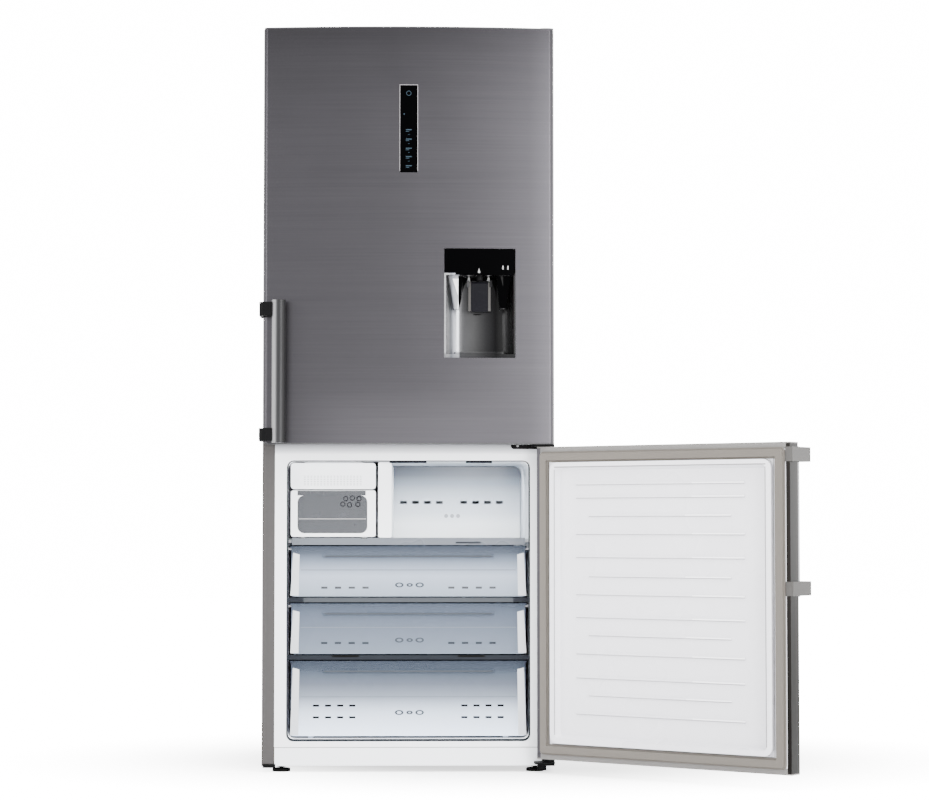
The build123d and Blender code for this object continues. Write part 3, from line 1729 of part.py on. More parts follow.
def moving_nodes():
    """What stands, rolls, turns or slides on the cabinet, by name."""
    crisper_side_gap = 7
    crisper_far = opening_half - crisper_side_gap
    crisper_near = 2
    upper_row = 21
    middle_row = 26
    return {
        "front_left_foot": build_foot(-foot_x),
        "front_right_foot": build_foot(foot_x),
        "rear_left_roller": build_roller(-roller_x),
        "rear_right_roller": build_roller(roller_x),
        "condenser_fan": build_condenser_fan(),
        "freezer_fan": build_freezer_fan(),
        "crisper_left": build_crisper(-crisper_far, -crisper_near),
        "crisper_right": build_crisper(crisper_near, crisper_far),
        "ice_tray": build_ice_tray(),
        "ice_bin": build_ice_bin(),
        "ice_bin_window": build_ice_window(),
        "freezer_drawer_upper": build_deep_drawer(upper_drawer_low, upper_drawer_high, upper_row),
        "freezer_drawer_middle": build_deep_drawer(middle_drawer_low, middle_drawer_high, middle_row),
        "freezer_drawer_lower": build_lower_drawer(),
    }


def upper_door_nodes():
    """The pieces of the closed upper door by name."""
    clamps = [(4.5, 35), (301, 334)]
    return {
        "dispenser_lever": build_lever(),
        "upper_door_skin": build_upper_skin(),
        "upper_door_liner": build_upper_liner(),
        "upper_door_caps": door_caps(upper_door_low, upper_door_high),
        "upper_door_gasket": door_gasket(upper_door_low, upper_door_high),
        "upper_door_bins": build_bins(),
        "display_panel": build_display(),
        "dispenser_panel": build_dispenser_panel(),
        "dispenser_housing": build_dispenser_housing(),
        "dispenser_drip_tray": build_dispenser_tray(),
        "dispenser_nozzle": build_dispenser_nozzle(),
        "upper_handle_bar": handle_bar(upper_bar_low),
        "upper_handle_brackets": handle_brackets(upper_bar_low, clamps),
    }


def freezer_door_nodes():
    """The pieces of the open freezer door by name."""
    clamps = [(3.5, 35.5), (303.5, 336.5)]
    bar_low = freezer_bar_high - bar_length
    return {
        "freezer_door_skin": swung(door_skin(freezer_door_low, freezer_door_high)),
        "freezer_door_liner": swung(build_freezer_door_liner()),
        "freezer_door_caps": swung(door_caps(freezer_door_low, freezer_door_high)),
        "freezer_door_gasket": swung(door_gasket(freezer_door_low, freezer_door_high)),
        "freezer_handle_bar": swung(handle_bar(bar_low)),
        "freezer_handle_brackets": swung(handle_brackets(bar_low, clamps)),
    }


os.makedirs("parts", exist_ok=True)
all_nodes = cabinet_nodes() | moving_nodes() | upper_door_nodes() | freezer_door_nodes()
for name, shape in all_nodes.items():
    export_step(shape, f"parts/{name}.step")
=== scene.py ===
"""Looks of a bottom-freezer fridge with an open freezer door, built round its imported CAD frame."""

import json
import logging
import math
from collections.abc import Iterable, Sequence
from dataclasses import dataclass
from enum import Enum

import bmesh
import bpy
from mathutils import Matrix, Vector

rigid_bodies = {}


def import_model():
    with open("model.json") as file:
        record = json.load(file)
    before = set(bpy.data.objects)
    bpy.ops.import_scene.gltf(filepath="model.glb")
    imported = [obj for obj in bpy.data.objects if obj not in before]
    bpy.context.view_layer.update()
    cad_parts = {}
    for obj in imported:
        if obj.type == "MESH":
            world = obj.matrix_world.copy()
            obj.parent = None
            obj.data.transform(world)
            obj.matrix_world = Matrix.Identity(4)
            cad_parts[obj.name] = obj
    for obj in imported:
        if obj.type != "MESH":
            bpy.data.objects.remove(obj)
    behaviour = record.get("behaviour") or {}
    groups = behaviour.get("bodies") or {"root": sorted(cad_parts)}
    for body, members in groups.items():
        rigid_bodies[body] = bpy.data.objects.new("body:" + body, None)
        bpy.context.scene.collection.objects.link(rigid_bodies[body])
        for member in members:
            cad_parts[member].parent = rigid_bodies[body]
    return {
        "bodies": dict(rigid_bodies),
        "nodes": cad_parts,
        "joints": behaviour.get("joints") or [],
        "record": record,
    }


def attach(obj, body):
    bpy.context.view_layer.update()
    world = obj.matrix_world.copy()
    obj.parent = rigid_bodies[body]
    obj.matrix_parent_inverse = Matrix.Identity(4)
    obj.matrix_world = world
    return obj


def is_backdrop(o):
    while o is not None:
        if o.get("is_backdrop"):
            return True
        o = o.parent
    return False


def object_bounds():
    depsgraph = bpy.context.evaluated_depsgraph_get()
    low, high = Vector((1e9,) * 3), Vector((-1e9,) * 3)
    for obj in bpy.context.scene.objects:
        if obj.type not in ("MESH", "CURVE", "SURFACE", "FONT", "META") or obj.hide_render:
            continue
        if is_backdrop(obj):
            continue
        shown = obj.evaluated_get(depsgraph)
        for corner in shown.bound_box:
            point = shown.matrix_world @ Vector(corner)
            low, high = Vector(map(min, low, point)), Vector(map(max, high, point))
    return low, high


LOG = logging.getLogger("fridge_freezer")
MM = 0.001

# Sockets of a colour mix: its two colours and its result.
MIX_FIRST = 6
MIX_SECOND = 7
MIX_RESULT = 2

# A pair is a place in x and z or two sizes, and a shape is an outline of such places.
# Limits are the least and greatest x, then the least and greatest z.
Pair = tuple[float, float]
Point = tuple[float, float, float]
Colour = tuple[float, float, float]
Shape = Sequence[Pair]
Limits = tuple[float, float, float, float]


class Surface(Enum):
    """How a finish meets the light."""

    BRUSHED = "brushed"
    MOULDED = "moulded"
    POLISHED = "polished"
    CLEAR = "clear"
    FOAM = "foam"


@dataclass(frozen=True)
class Fade:
    """Change of tone along one axis of the object.

    Args:
        axis: the axis, X, Y or Z.
        start: coordinate in metres where the first tone stands.
        stop: coordinate in metres where the last tone stands.
        tones: pairs of a share of the way and the linear colour that multiplies the finish there.
    """

    axis: str
    start: float
    stop: float
    tones: tuple[tuple[float, Colour], ...]


@dataclass(frozen=True)
class Finish:
    """One procedural finish.

    Args:
        name: name of the material.
        surface: the family of shader it uses.
        colour: main colour, linear red, green and blue.
        second: colour that the variation mixes in.
        roughness: middle roughness.
        metallic: how metallic it is.
        grain: pattern size in features per metre.
        bump: strength of the relief.
        opacity: how much of a clear finish hides what is behind it.
        spread: how far the roughness varies.
        specular: level of the uncoloured reflection.
        fades: changes of tone across the object.
    """

    name: str
    surface: Surface
    colour: Colour
    second: Colour
    roughness: float
    metallic: float = 0.0
    grain: float = 900.0
    bump: float = 0.05
    opacity: float = 0.3
    spread: float = 0.06
    specular: float = 0.5
    fades: tuple[Fade, ...] = ()


@dataclass
class EffectLibrary:
    """Shared shader node groups, which put out only masks, values and normals.

    Args:
        brush_density: usual number of fine streaks per metre.
        brush_relief: usual strength of the brushing's relief.
        brush_stretch: factors that draw the brushing out along x and y.
        fine_detail: octaves of the fine streaks.
        wide_scale: pattern size of the wide streaks.
        wide_share: share of the wide streaks in the mask.
        brush_depth: depth of the brushing in metres.
        grain_density: usual number of the moulded grain's features per metre.
        grain_relief: usual strength of its relief.
        grain_detail: octaves of the moulded grain.
        grain_depth: depth of the moulded grain in metres.
        mottle_density: number of the soft mottle's features per metre.
        mottle_detail: octaves of the soft mottle.
        mottle_limits: noise values that are spread to the mottle's full range.
    """

    brush_density: float = 1400.0
    brush_relief: float = 0.1
    brush_stretch: Point = (0.012, 0.012, 1.0)
    fine_detail: float = 3.0
    wide_scale: float = 60.0
    wide_share: float = 0.3
    brush_depth: float = 0.2 * MM
    grain_density: float = 900.0
    grain_relief: float = 0.05
    grain_detail: float = 4.0
    grain_depth: float = 0.3 * MM
    mottle_density: float = 7.0
    mottle_detail: float = 2.0
    mottle_limits: Pair = (0.35, 0.65)

    def __post_init__(self) -> None:
        """Build every group once."""
        self.streaks = self._build_streaks()
        self.grain = self._build_grain()
        self.mottle = self._build_mottle()

    @staticmethod
    def _new_group(name: str, inputs: dict[str, float], outputs: dict[str, str]) -> bpy.types.NodeTree:
        """Make an empty group with float inputs and the named outputs.

        Args:
            name: the group's name.
            inputs: default value of each float input by name.
            outputs: socket type of each output by name.

        Returns:
            The new node tree.
        """
        tree = bpy.data.node_groups.new(name, "ShaderNodeTree")
        for label, value in inputs.items():
            socket = tree.interface.new_socket(label, in_out="INPUT", socket_type="NodeSocketFloat")
            socket.default_value = value
        for label, kind in outputs.items():
            tree.interface.new_socket(label, in_out="OUTPUT", socket_type=kind)
        return tree

    def _build_streaks(self) -> bpy.types.NodeTree:
        """Build fine horizontal brushing with a relief.

        Returns:
            The group's node tree.
        """
        inputs = {"Density": self.brush_density, "Relief": self.brush_relief}
        outputs = {"Mask": "NodeSocketFloat", "Normal": "NodeSocketVector"}
        tree = self._new_group("brushed_streaks", inputs, outputs)
        nodes, links = tree.nodes, tree.links
        start = nodes.new("NodeGroupInput")
        end = nodes.new("NodeGroupOutput")
        place = nodes.new("ShaderNodeTexCoord")
        stretch = nodes.new("ShaderNodeMapping")
        stretch.inputs["Scale"].default_value = self.brush_stretch
        fine = nodes.new("ShaderNodeTexNoise")
        fine.inputs["Detail"].default_value = self.fine_detail
        wide = nodes.new("ShaderNodeTexNoise")
        wide.inputs["Scale"].default_value = self.wide_scale
        mixed = nodes.new("ShaderNodeMath")
        mixed.operation = "MULTIPLY_ADD"
        mixed.inputs[1].default_value = 1.0 - self.wide_share
        share = nodes.new("ShaderNodeMath")
        share.operation = "MULTIPLY"
        share.inputs[1].default_value = self.wide_share
        relief = nodes.new("ShaderNodeBump")
        relief.inputs["Distance"].default_value = self.brush_depth
        links.new(place.outputs["Object"], stretch.inputs["Vector"])
        links.new(stretch.outputs["Vector"], fine.inputs["Vector"])
        links.new(stretch.outputs["Vector"], wide.inputs["Vector"])
        links.new(start.outputs["Density"], fine.inputs["Scale"])
        links.new(wide.outputs["Fac"], share.inputs[0])
        links.new(fine.outputs["Fac"], mixed.inputs[0])
        links.new(share.outputs["Value"], mixed.inputs[2])
        links.new(mixed.outputs["Value"], relief.inputs["Height"])
        links.new(start.outputs["Relief"], relief.inputs["Strength"])
        links.new(mixed.outputs["Value"], end.inputs["Mask"])
        links.new(relief.outputs["Normal"], end.inputs["Normal"])
        return tree

    def _build_grain(self) -> bpy.types.NodeTree:
        """Build the very fine even grain of moulded plastic or paint.

        Returns:
            The group's node tree.
        """
        inputs = {"Density": self.grain_density, "Relief": self.grain_relief}
        outputs = {"Mask": "NodeSocketFloat", "Normal": "NodeSocketVector"}
        tree = self._new_group("moulded_grain", inputs, outputs)
        nodes, links = tree.nodes, tree.links
        start = nodes.new("NodeGroupInput")
        end = nodes.new("NodeGroupOutput")
        place = nodes.new("ShaderNodeTexCoord")
        noise = nodes.new("ShaderNodeTexNoise")
        noise.inputs["Detail"].default_value = self.grain_detail
        relief = nodes.new("ShaderNodeBump")
        relief.inputs["Distance"].default_value = self.grain_depth
        links.new(place.outputs["Object"], noise.inputs["Vector"])
        links.new(start.outputs["Density"], noise.inputs["Scale"])
        links.new(noise.outputs["Fac"], relief.inputs["Height"])
        links.new(start.outputs["Relief"], relief.inputs["Strength"])
        links.new(noise.outputs["Fac"], end.inputs["Mask"])
        links.new(relief.outputs["Normal"], end.inputs["Normal"])
        return tree

    def _build_mottle(self) -> bpy.types.NodeTree:
        """Build the broad soft variation that handling and uneven gloss leave.

        Returns:
            The group's node tree.
        """
        tree = self._new_group("soft_mottle", {"Density": self.mottle_density}, {"Mask": "NodeSocketFloat"})
        nodes, links = tree.nodes, tree.links
        start = nodes.new("NodeGroupInput")
        end = nodes.new("NodeGroupOutput")
        place = nodes.new("ShaderNodeTexCoord")
        noise = nodes.new("ShaderNodeTexNoise")
        noise.inputs["Detail"].default_value = self.mottle_detail
        full = nodes.new("ShaderNodeMapRange")
        least, most = self.mottle_limits
        full.inputs["From Min"].default_value = least
        full.inputs["From Max"].default_value = most
        links.new(place.outputs["Object"], noise.inputs["Vector"])
        links.new(start.outputs["Density"], noise.inputs["Scale"])
        links.new(noise.outputs["Fac"], full.inputs["Value"])
        links.new(full.outputs["Result"], end.inputs["Mask"])
        return tree


@dataclass
class MaterialShop:
    """Turns finishes into materials.

    Args:
        effects: the shared node groups.
        least_roughness: the smoothest that a finish may be.
        brushed_anisotropy: how far brushing draws the highlights out.
        slant_blend: how early a clear finish starts to hide at a slant.
        slant_gain: how much more a clear finish hides at a full slant.
    """

    effects: EffectLibrary
    least_roughness: float = 0.02
    brushed_anisotropy: float = 0.6
    slant_blend: float = 0.35
    slant_gain: float = 0.5

    def __post_init__(self) -> None:
        """Start with an empty shelf."""
        self.made: dict[str, bpy.types.Material] = {}

    def get(self, finish: Finish) -> bpy.types.Material:
        """Give the material of a finish, and build it the first time.

        Args:
            finish: the finish wanted.

        Returns:
            Its material.
        """
        if finish.name not in self.made:
            self.made[finish.name] = self._build(finish)
        return self.made[finish.name]

    @staticmethod
    def _effect(material: bpy.types.Material, tree: bpy.types.NodeTree) -> bpy.types.Node:
        """Add one shared group to a material.

        Args:
            material: the material to work in.
            tree: the group's node tree.

        Returns:
            The group's node.
        """
        node = material.node_tree.nodes.new("ShaderNodeGroup")
        node.node_tree = tree
        return node

    def _build(self, finish: Finish) -> bpy.types.Material:
        """Build a material with colour variation, varied roughness and a relief.

        Args:
            finish: the finish wanted.

        Returns:
            The new material.
        """
        material = bpy.data.materials.new(finish.name)
        material.use_nodes = True
        nodes, links = material.node_tree.nodes, material.node_tree.links
        shader = nodes["Principled BSDF"]
        output = nodes["Material Output"]
        pattern_tree = self.effects.streaks if finish.surface is Surface.BRUSHED else self.effects.grain
        pattern = self._effect(material, pattern_tree)
        pattern.inputs["Density"].default_value = finish.grain
        pattern.inputs["Relief"].default_value = finish.bump
        mottle = self._effect(material, self.effects.mottle)
        tint = nodes.new("ShaderNodeMix")
        tint.data_type = "RGBA"
        tint.inputs[MIX_FIRST].default_value = (*finish.colour, 1.0)
        tint.inputs[MIX_SECOND].default_value = (*finish.second, 1.0)
        links.new(pattern.outputs["Mask"], tint.inputs[0])
        gloss = nodes.new("ShaderNodeMapRange")
        gloss.inputs["To Min"].default_value = max(self.least_roughness, finish.roughness - finish.spread)
        gloss.inputs["To Max"].default_value = min(1.0, finish.roughness + finish.spread)
        links.new(mottle.outputs["Mask"], gloss.inputs["Value"])
        colour = tint.outputs[MIX_RESULT]
        for fade in finish.fades:
            colour = self._faded(material, fade, colour)
        links.new(colour, shader.inputs["Base Color"])
        links.new(gloss.outputs["Result"], shader.inputs["Roughness"])
        links.new(pattern.outputs["Normal"], shader.inputs["Normal"])
        shader.inputs["Metallic"].default_value = finish.metallic
        shader.inputs["Specular IOR Level"].default_value = finish.specular
        if finish.surface is Surface.BRUSHED:
            shader.inputs["Anisotropic"].default_value = self.brushed_anisotropy
        if finish.surface is Surface.CLEAR:
            self._make_clear(material, finish, shader, output)
        return material

    @staticmethod
    def _faded(material: bpy.types.Material, fade: Fade,
               colour: bpy.types.NodeSocket) -> bpy.types.NodeSocket:
        """Multiply a colour by the tones of a fade.

        Args:
            material: the material to work in.
            fade: the change of tone.
            colour: the socket with the colour.

        Returns:
            The socket with the faded colour.
        """
        nodes, links = material.node_tree.nodes, material.node_tree.links
        place = nodes.new("ShaderNodeTexCoord")
        parts = nodes.new("ShaderNodeSeparateXYZ")
        share = nodes.new("ShaderNodeMapRange")
        share.inputs["From Min"].default_value = fade.start
        share.inputs["From Max"].default_value = fade.stop
        ramp = nodes.new("ShaderNodeValToRGB")
        stops = ramp.color_ramp.elements
        while len(stops) < len(fade.tones):
            stops.new(1.0)
        for stop, (where, tone) in zip(stops, fade.tones):
            stop.position = where
            stop.color = (*tone, 1.0)
        product = nodes.new("ShaderNodeMix")
        product.data_type = "RGBA"
        product.blend_type = "MULTIPLY"
        product.inputs[0].default_value = 1.0
        links.new(place.outputs["Object"], parts.inputs["Vector"])
        links.new(parts.outputs[fade.axis], share.inputs["Value"])
        links.new(share.outputs["Result"], ramp.inputs[0])
        links.new(colour, product.inputs[MIX_FIRST])
        links.new(ramp.outputs["Color"], product.inputs[MIX_SECOND])
        return product.outputs[MIX_RESULT]

    def _make_clear(self, material: bpy.types.Material, finish: Finish, shader: bpy.types.Node,
                    output: bpy.types.Node) -> None:
        """Let the light through, less of it where the surface is seen at a slant.

        Args:
            material: the material to work in.
            finish: its finish.
            shader: the shader of its surface.
            output: its output node.
        """
        nodes, links = material.node_tree.nodes, material.node_tree.links
        slant = nodes.new("ShaderNodeLayerWeight")
        slant.inputs["Blend"].default_value = self.slant_blend
        hide = nodes.new("ShaderNodeMapRange")
        hide.inputs["To Min"].default_value = finish.opacity
        hide.inputs["To Max"].default_value = min(1.0, finish.opacity + self.slant_gain)
        through = nodes.new("ShaderNodeBsdfTransparent")
        blend = nodes.new("ShaderNodeMixShader")
        links.new(slant.outputs["Facing"], hide.inputs["Value"])
        links.new(hide.outputs["Result"], blend.inputs[0])
        links.new(through.outputs["BSDF"], blend.inputs[1])
        links.new(shader.outputs["BSDF"], blend.inputs[2])
        links.new(blend.outputs["Shader"], output.inputs["Surface"])


# Painted reflection and shade across the metallised dispenser niche: a light left wall, a bright highlight
# band and a dark right side.
NICHE_PAINTED_REFLECTION = Fade("X", 0.0847, 0.2543, (
    (0.0, (0.75, 0.75, 0.76)), (0.06, (0.85, 0.85, 0.86)), (0.1, (0.5, 0.52, 0.56)),
    (0.13, (0.9, 0.93, 1.0)), (0.2, (1.15, 1.17, 1.2)), (0.22, (0.16, 0.16, 0.165)),
    (0.42, (0.13, 0.13, 0.13)), (0.6, (0.045, 0.045, 0.047)), (0.73, (0.008, 0.008, 0.009)),
    (0.79, (0.03, 0.03, 0.03)), (0.85, (0.035, 0.035, 0.035)), (0.88, (0.035, 0.035, 0.035)),
    (1.0, (0.04, 0.04, 0.04))))
# Painted shade at the niche's foot, darker towards its bottom.
NICHE_FOOT_PAINTED_SHADE = Fade("Z", 0.986, 1.004, (
    (0.0, (0.4, 0.4, 0.41)), (0.5, (0.5, 0.5, 0.51)), (0.75, (1.0, 1.0, 1.0)), (1.0, (1.0, 1.0, 1.0))))
# Painted shadow of the upper door on the centre rail, darker towards the rail's top.
RAIL_PAINTED_SHADOW = Fade("Z", 0.76, 0.784, (
    (0.0, (0.9, 0.9, 0.91)), (0.3, (0.55, 0.55, 0.57)), (0.7, (0.32, 0.32, 0.335)),
    (1.0, (0.15, 0.15, 0.155))))
# Painted shade on the upper door, darker towards its top.
DOOR_TOP_PAINTED_SHADE = Fade("Z", 0.79, 1.78, (
    (0.0, (1.0, 1.0, 1.0)), (0.75, (1.0, 1.0, 1.0)), (0.93, (0.84, 0.84, 0.84)), (1.0, (0.66, 0.66, 0.66))))
# Painted shade on the open freezer door's skin, darker towards its free edge.
FREE_EDGE_PAINTED_SHADE = Fade("X", 0.78, 0.838, (
    (0.0, (1.0, 1.0, 1.0)), (0.5, (0.6, 0.59, 0.56)), (1.0, (0.205, 0.2, 0.17))))
FOIL_FADE = Fade("Y", 0.3, 0.31, ((0.0, (1.0, 1.0, 1.0)), (1.0, (0.13, 0.155, 0.28))))
# Painted highlight and shade across the upper handle bar: a light stripe at its left, dark towards its
# right.
BAR_PAINTED_HIGHLIGHT_AND_SHADE = Fade("X", -0.3234, -0.2915, (
    (0.0, (0.45, 0.45, 0.45)), (0.1, (0.66, 0.66, 0.67)), (0.24, (0.34, 0.34, 0.345)),
    (0.4, (0.08, 0.08, 0.082)), (0.55, (0.045, 0.045, 0.047)), (0.75, (0.04, 0.04, 0.041)),
    (1.0, (0.03, 0.03, 0.031))))
# Painted light and shade on the clear freezer drawers: light at each drawer's bottom, dark towards its top
# where the shelf above shades it.
DRAWER_PAINTED_LIGHT_AND_SHADE = Fade("Z", 0.079, 0.54, (
    (0.0, (2.2, 2.24, 2.3)), (0.13, (1.35, 1.38, 1.43)), (0.21, (0.5, 0.52, 0.55)),
    (0.28, (0.26, 0.27, 0.3)), (0.33, (0.18, 0.2, 0.23)), (0.36, (0.11, 0.125, 0.15)),
    (0.4, (0.08, 0.09, 0.11)), (0.436, (0.37, 0.4, 0.44)), (0.56, (0.28, 0.3, 0.34)),
    (0.65, (0.2, 0.22, 0.26)), (0.698, (0.12, 0.135, 0.16)), (0.735, (0.63, 0.66, 0.69)),
    (0.84, (0.84, 0.87, 0.92)), (0.92, (0.36, 0.39, 0.44)), (0.96, (0.165, 0.18, 0.205)),
    (1.0, (0.08, 0.09, 0.11))))
# Painted shade on the evaporator cover, darker towards the compartment's top, with a light band over its
# middle.
COVER_PAINTED_SHADE_AND_LIGHT = Fade("Z", 0.276, 0.741, (
    (0.0, (0.9, 0.9, 0.92)), (0.55, (0.8, 0.82, 0.86)), (0.61, (1.15, 1.15, 1.14)),
    (0.68, (1.05, 1.06, 1.07)), (0.74, (0.72, 0.75, 0.79)), (0.79, (0.6, 0.64, 0.69)),
    (0.85, (0.42, 0.46, 0.51)), (0.9, (0.22, 0.26, 0.31)), (0.95, (0.085, 0.105, 0.14)),
    (1.0, (0.04, 0.05, 0.07))))
# Painted shade inside the freezer liner, darker towards the back.
LINER_PAINTED_SHADE = Fade("Y", -0.318, 0.2, (
    (0.0, (1.0, 1.0, 1.0)), (0.06, (0.86, 0.88, 0.9)), (0.5, (0.62, 0.65, 0.7)), (1.0, (0.5, 0.54, 0.6))))


@dataclass(frozen=True)
class FinishBook:
    """Every finish of the fridge freezer."""

    door_steel: Finish = Finish("brushed_door_steel", Surface.BRUSHED, (0.035, 0.0335, 0.0373),
                                (0.047, 0.045, 0.0495), 0.3, metallic=1.0, grain=260.0, bump=0.1,
                                spread=0.01, fades=(DOOR_TOP_PAINTED_SHADE,))
    freezer_steel: Finish = Finish("brushed_freezer_steel", Surface.BRUSHED, (0.035, 0.0335, 0.0373),
                                   (0.047, 0.045, 0.0495), 0.3, metallic=1.0, grain=260.0, bump=0.1,
                                   spread=0.01, fades=(FREE_EDGE_PAINTED_SHADE,))
    cabinet_grey: Finish = Finish("cabinet_grey_paint", Surface.MOULDED, (0.041, 0.038, 0.0375),
                                  (0.048, 0.045, 0.0445), 0.5, metallic=0.2, grain=2200.0, specular=0.2)
    zinc: Finish = Finish("zinc_sheet", Surface.BRUSHED, (0.16, 0.165, 0.17), (0.2, 0.205, 0.21), 0.42,
                          metallic=1.0, grain=400.0)
    black_frame: Finish = Finish("black_powder_coat", Surface.MOULDED, (0.0012, 0.0012, 0.0014),
                                 (0.002, 0.002, 0.0022), 0.5, grain=2600.0, bump=0.2, specular=0.05)
    foam: Finish = Finish("insulation_foam", Surface.FOAM, (0.6, 0.5, 0.28), (0.5, 0.4, 0.2), 0.95,
                          grain=380.0, bump=0.6, specular=0.1, fades=(FOIL_FADE,))
    white_liner: Finish = Finish("white_glossy_liner", Surface.MOULDED, (0.8, 0.81, 0.835),
                                 (0.76, 0.77, 0.795), 0.3, grain=1200.0, bump=0.03)
    door_liner: Finish = Finish("white_door_liner", Surface.MOULDED, (0.7, 0.695, 0.73), (0.67, 0.665, 0.7),
                                0.3, grain=1200.0, bump=0.03)
    rib_shade: Finish = Finish("rib_shade", Surface.MOULDED, (0.23, 0.225, 0.245), (0.26, 0.255, 0.275), 0.4,
                               grain=900.0, bump=0.0)
    ridge_shade: Finish = Finish("ridge_shade", Surface.MOULDED, (0.17, 0.166, 0.172), (0.19, 0.186, 0.192),
                                 0.4, grain=900.0, bump=0.0)
    rib_light: Finish = Finish("rib_light", Surface.POLISHED, (0.93, 0.93, 0.95), (0.96, 0.96, 0.98), 0.2,
                               grain=300.0, bump=0.0)
    # Painted shade of the gaps round the freezer's drawers, shelves and mouth.
    gap_shade_grey: Finish = Finish("painted_gap_shade_grey", Surface.MOULDED, (0.032, 0.037, 0.044),
                              (0.038, 0.043, 0.05), 0.4, grain=900.0, bump=0.0, specular=0.2)
    gap_shade_dark: Finish = Finish("painted_gap_shade_dark", Surface.MOULDED, (0.007, 0.009, 0.013),
                              (0.01, 0.012, 0.016), 0.4, grain=900.0, bump=0.0, specular=0.1)
    white_plastic: Finish = Finish("white_satin_plastic", Surface.MOULDED, (0.82, 0.835, 0.86),
                                   (0.78, 0.795, 0.82), 0.4, grain=1600.0, bump=0.06)
    black_plastic: Finish = Finish("black_satin_plastic", Surface.MOULDED, (0.0012, 0.0012, 0.0014),
                                   (0.002, 0.002, 0.0022), 0.45, grain=2400.0, bump=0.15, specular=0.05)
    cap_grey: Finish = Finish("grey_end_cap", Surface.MOULDED, (0.025, 0.025, 0.027), (0.035, 0.035, 0.037),
                              0.45, grain=2400.0, bump=0.12, specular=0.2)
    # Lighter copy of the grey end caps, used for the open freezer door: painted light on its rim.
    cap_highlight: Finish = Finish("end_cap_painted_highlight", Surface.MOULDED, (0.13, 0.125, 0.12), (0.15, 0.145, 0.14),
                              0.45, grain=2400.0, bump=0.12, specular=0.2)
    # Black glass of the display and dispenser panels, also used for the painted shadow round the dispenser's
    # nozzle.
    black_gloss: Finish = Finish("black_glass_and_painted_shadow", Surface.POLISHED, (0.0002, 0.0002, 0.0003),
                                 (0.0004, 0.0004, 0.0005), 0.08, grain=300.0, bump=0.0, spread=0.02,
                                 specular=0.01)
    niche_silver: Finish = Finish("metallised_niche", Surface.BRUSHED, (0.25, 0.25, 0.255),
                                  (0.29, 0.29, 0.295), 0.25, metallic=0.45, grain=500.0, bump=0.03,
                                  specular=0.1, fades=(NICHE_PAINTED_REFLECTION, NICHE_FOOT_PAINTED_SHADE))
    upper_bar: Finish = Finish("polished_upper_handle", Surface.BRUSHED, (0.3, 0.3, 0.303),
                               (0.34, 0.34, 0.343), 0.3, metallic=0.5, grain=1800.0, bump=0.03, spread=0.02,
                               specular=0.1, fades=(BAR_PAINTED_HIGHLIGHT_AND_SHADE,))
    # Lighter copy of the black upper handle brackets, used for the freezer door's brackets: painted
    # reflection of the light they catch. The lever's strips share it.
    reflection_grey: Finish = Finish("grey_painted_reflection", Surface.MOULDED, (0.044, 0.042, 0.04),
                                  (0.052, 0.05, 0.048), 0.4, metallic=0.4, grain=1600.0, specular=0.2)
    freezer_cover: Finish = Finish("white_cover_plastic", Surface.MOULDED, (0.82, 0.835, 0.86),
                                   (0.79, 0.805, 0.83), 0.4, grain=1600.0, bump=0.04, fades=(COVER_PAINTED_SHADE_AND_LIGHT,))
    deep_liner: Finish = Finish("white_freezer_liner", Surface.MOULDED, (0.8, 0.81, 0.835),
                                (0.77, 0.78, 0.805), 0.35, grain=1200.0, bump=0.03, fades=(LINER_PAINTED_SHADE,))
    trim_silver: Finish = Finish("silver_shelf_trim", Surface.MOULDED, (0.075, 0.085, 0.1),
                                 (0.085, 0.095, 0.112), 0.3, metallic=0.3, grain=1400.0)
    bright: Finish = Finish("polished_handle", Surface.BRUSHED, (0.14, 0.14, 0.143), (0.17, 0.17, 0.173),
                            0.18, metallic=1.0, grain=1800.0, bump=0.03, spread=0.02)
    enamel: Finish = Finish("compressor_enamel", Surface.MOULDED, (0.004, 0.004, 0.0045),
                            (0.007, 0.007, 0.008), 0.28, grain=700.0, bump=0.08, specular=0.2)
    coil: Finish = Finish("bare_coil_aluminium", Surface.BRUSHED, (0.3, 0.305, 0.31), (0.36, 0.365, 0.37),
                          0.36, metallic=1.0, grain=700.0)
    clear: Finish = Finish("clear_drawer_plastic", Surface.CLEAR, (0.42, 0.48, 0.57), (0.46, 0.52, 0.61),
                           0.2, grain=500.0, bump=0.03, opacity=0.26)
    drawer_clear: Finish = Finish("clear_freezer_plastic", Surface.CLEAR, (0.36, 0.4, 0.46),
                                  (0.38, 0.42, 0.48), 0.3, grain=40.0, bump=0.0, opacity=0.82,
                                  specular=0.05, fades=(DRAWER_PAINTED_LIGHT_AND_SHADE,))
    rail_white: Finish = Finish("white_rail_plastic", Surface.MOULDED, (0.82, 0.835, 0.86),
                                (0.78, 0.795, 0.82), 0.4, grain=1600.0, bump=0.06, fades=(RAIL_PAINTED_SHADOW,))
    glass: Finish = Finish("shelf_glass", Surface.CLEAR, (0.5, 0.6, 0.6), (0.54, 0.64, 0.64), 0.05,
                           grain=300.0, bump=0.0, opacity=0.16, spread=0.02)
    smoke: Finish = Finish("smoky_window", Surface.CLEAR, (0.057, 0.06, 0.066), (0.064, 0.067, 0.074), 0.3,
                           grain=40.0, bump=0.0, opacity=0.82, specular=0.1)
    seal: Finish = Finish("soft_seal", Surface.MOULDED, (0.118, 0.107, 0.095), (0.103, 0.094, 0.082), 0.6,
                          grain=1500.0, bump=0.2, specular=0.1)
    nylon: Finish = Finish("roller_nylon", Surface.MOULDED, (0.008, 0.008, 0.0085), (0.012, 0.012, 0.0125),
                           0.55, grain=1800.0, bump=0.15, specular=0.2)
    mark_light: Finish = Finish("light_print", Surface.MOULDED, (0.2, 0.2, 0.2), (0.24, 0.24, 0.24), 0.5,
                                grain=900.0, bump=0.0)
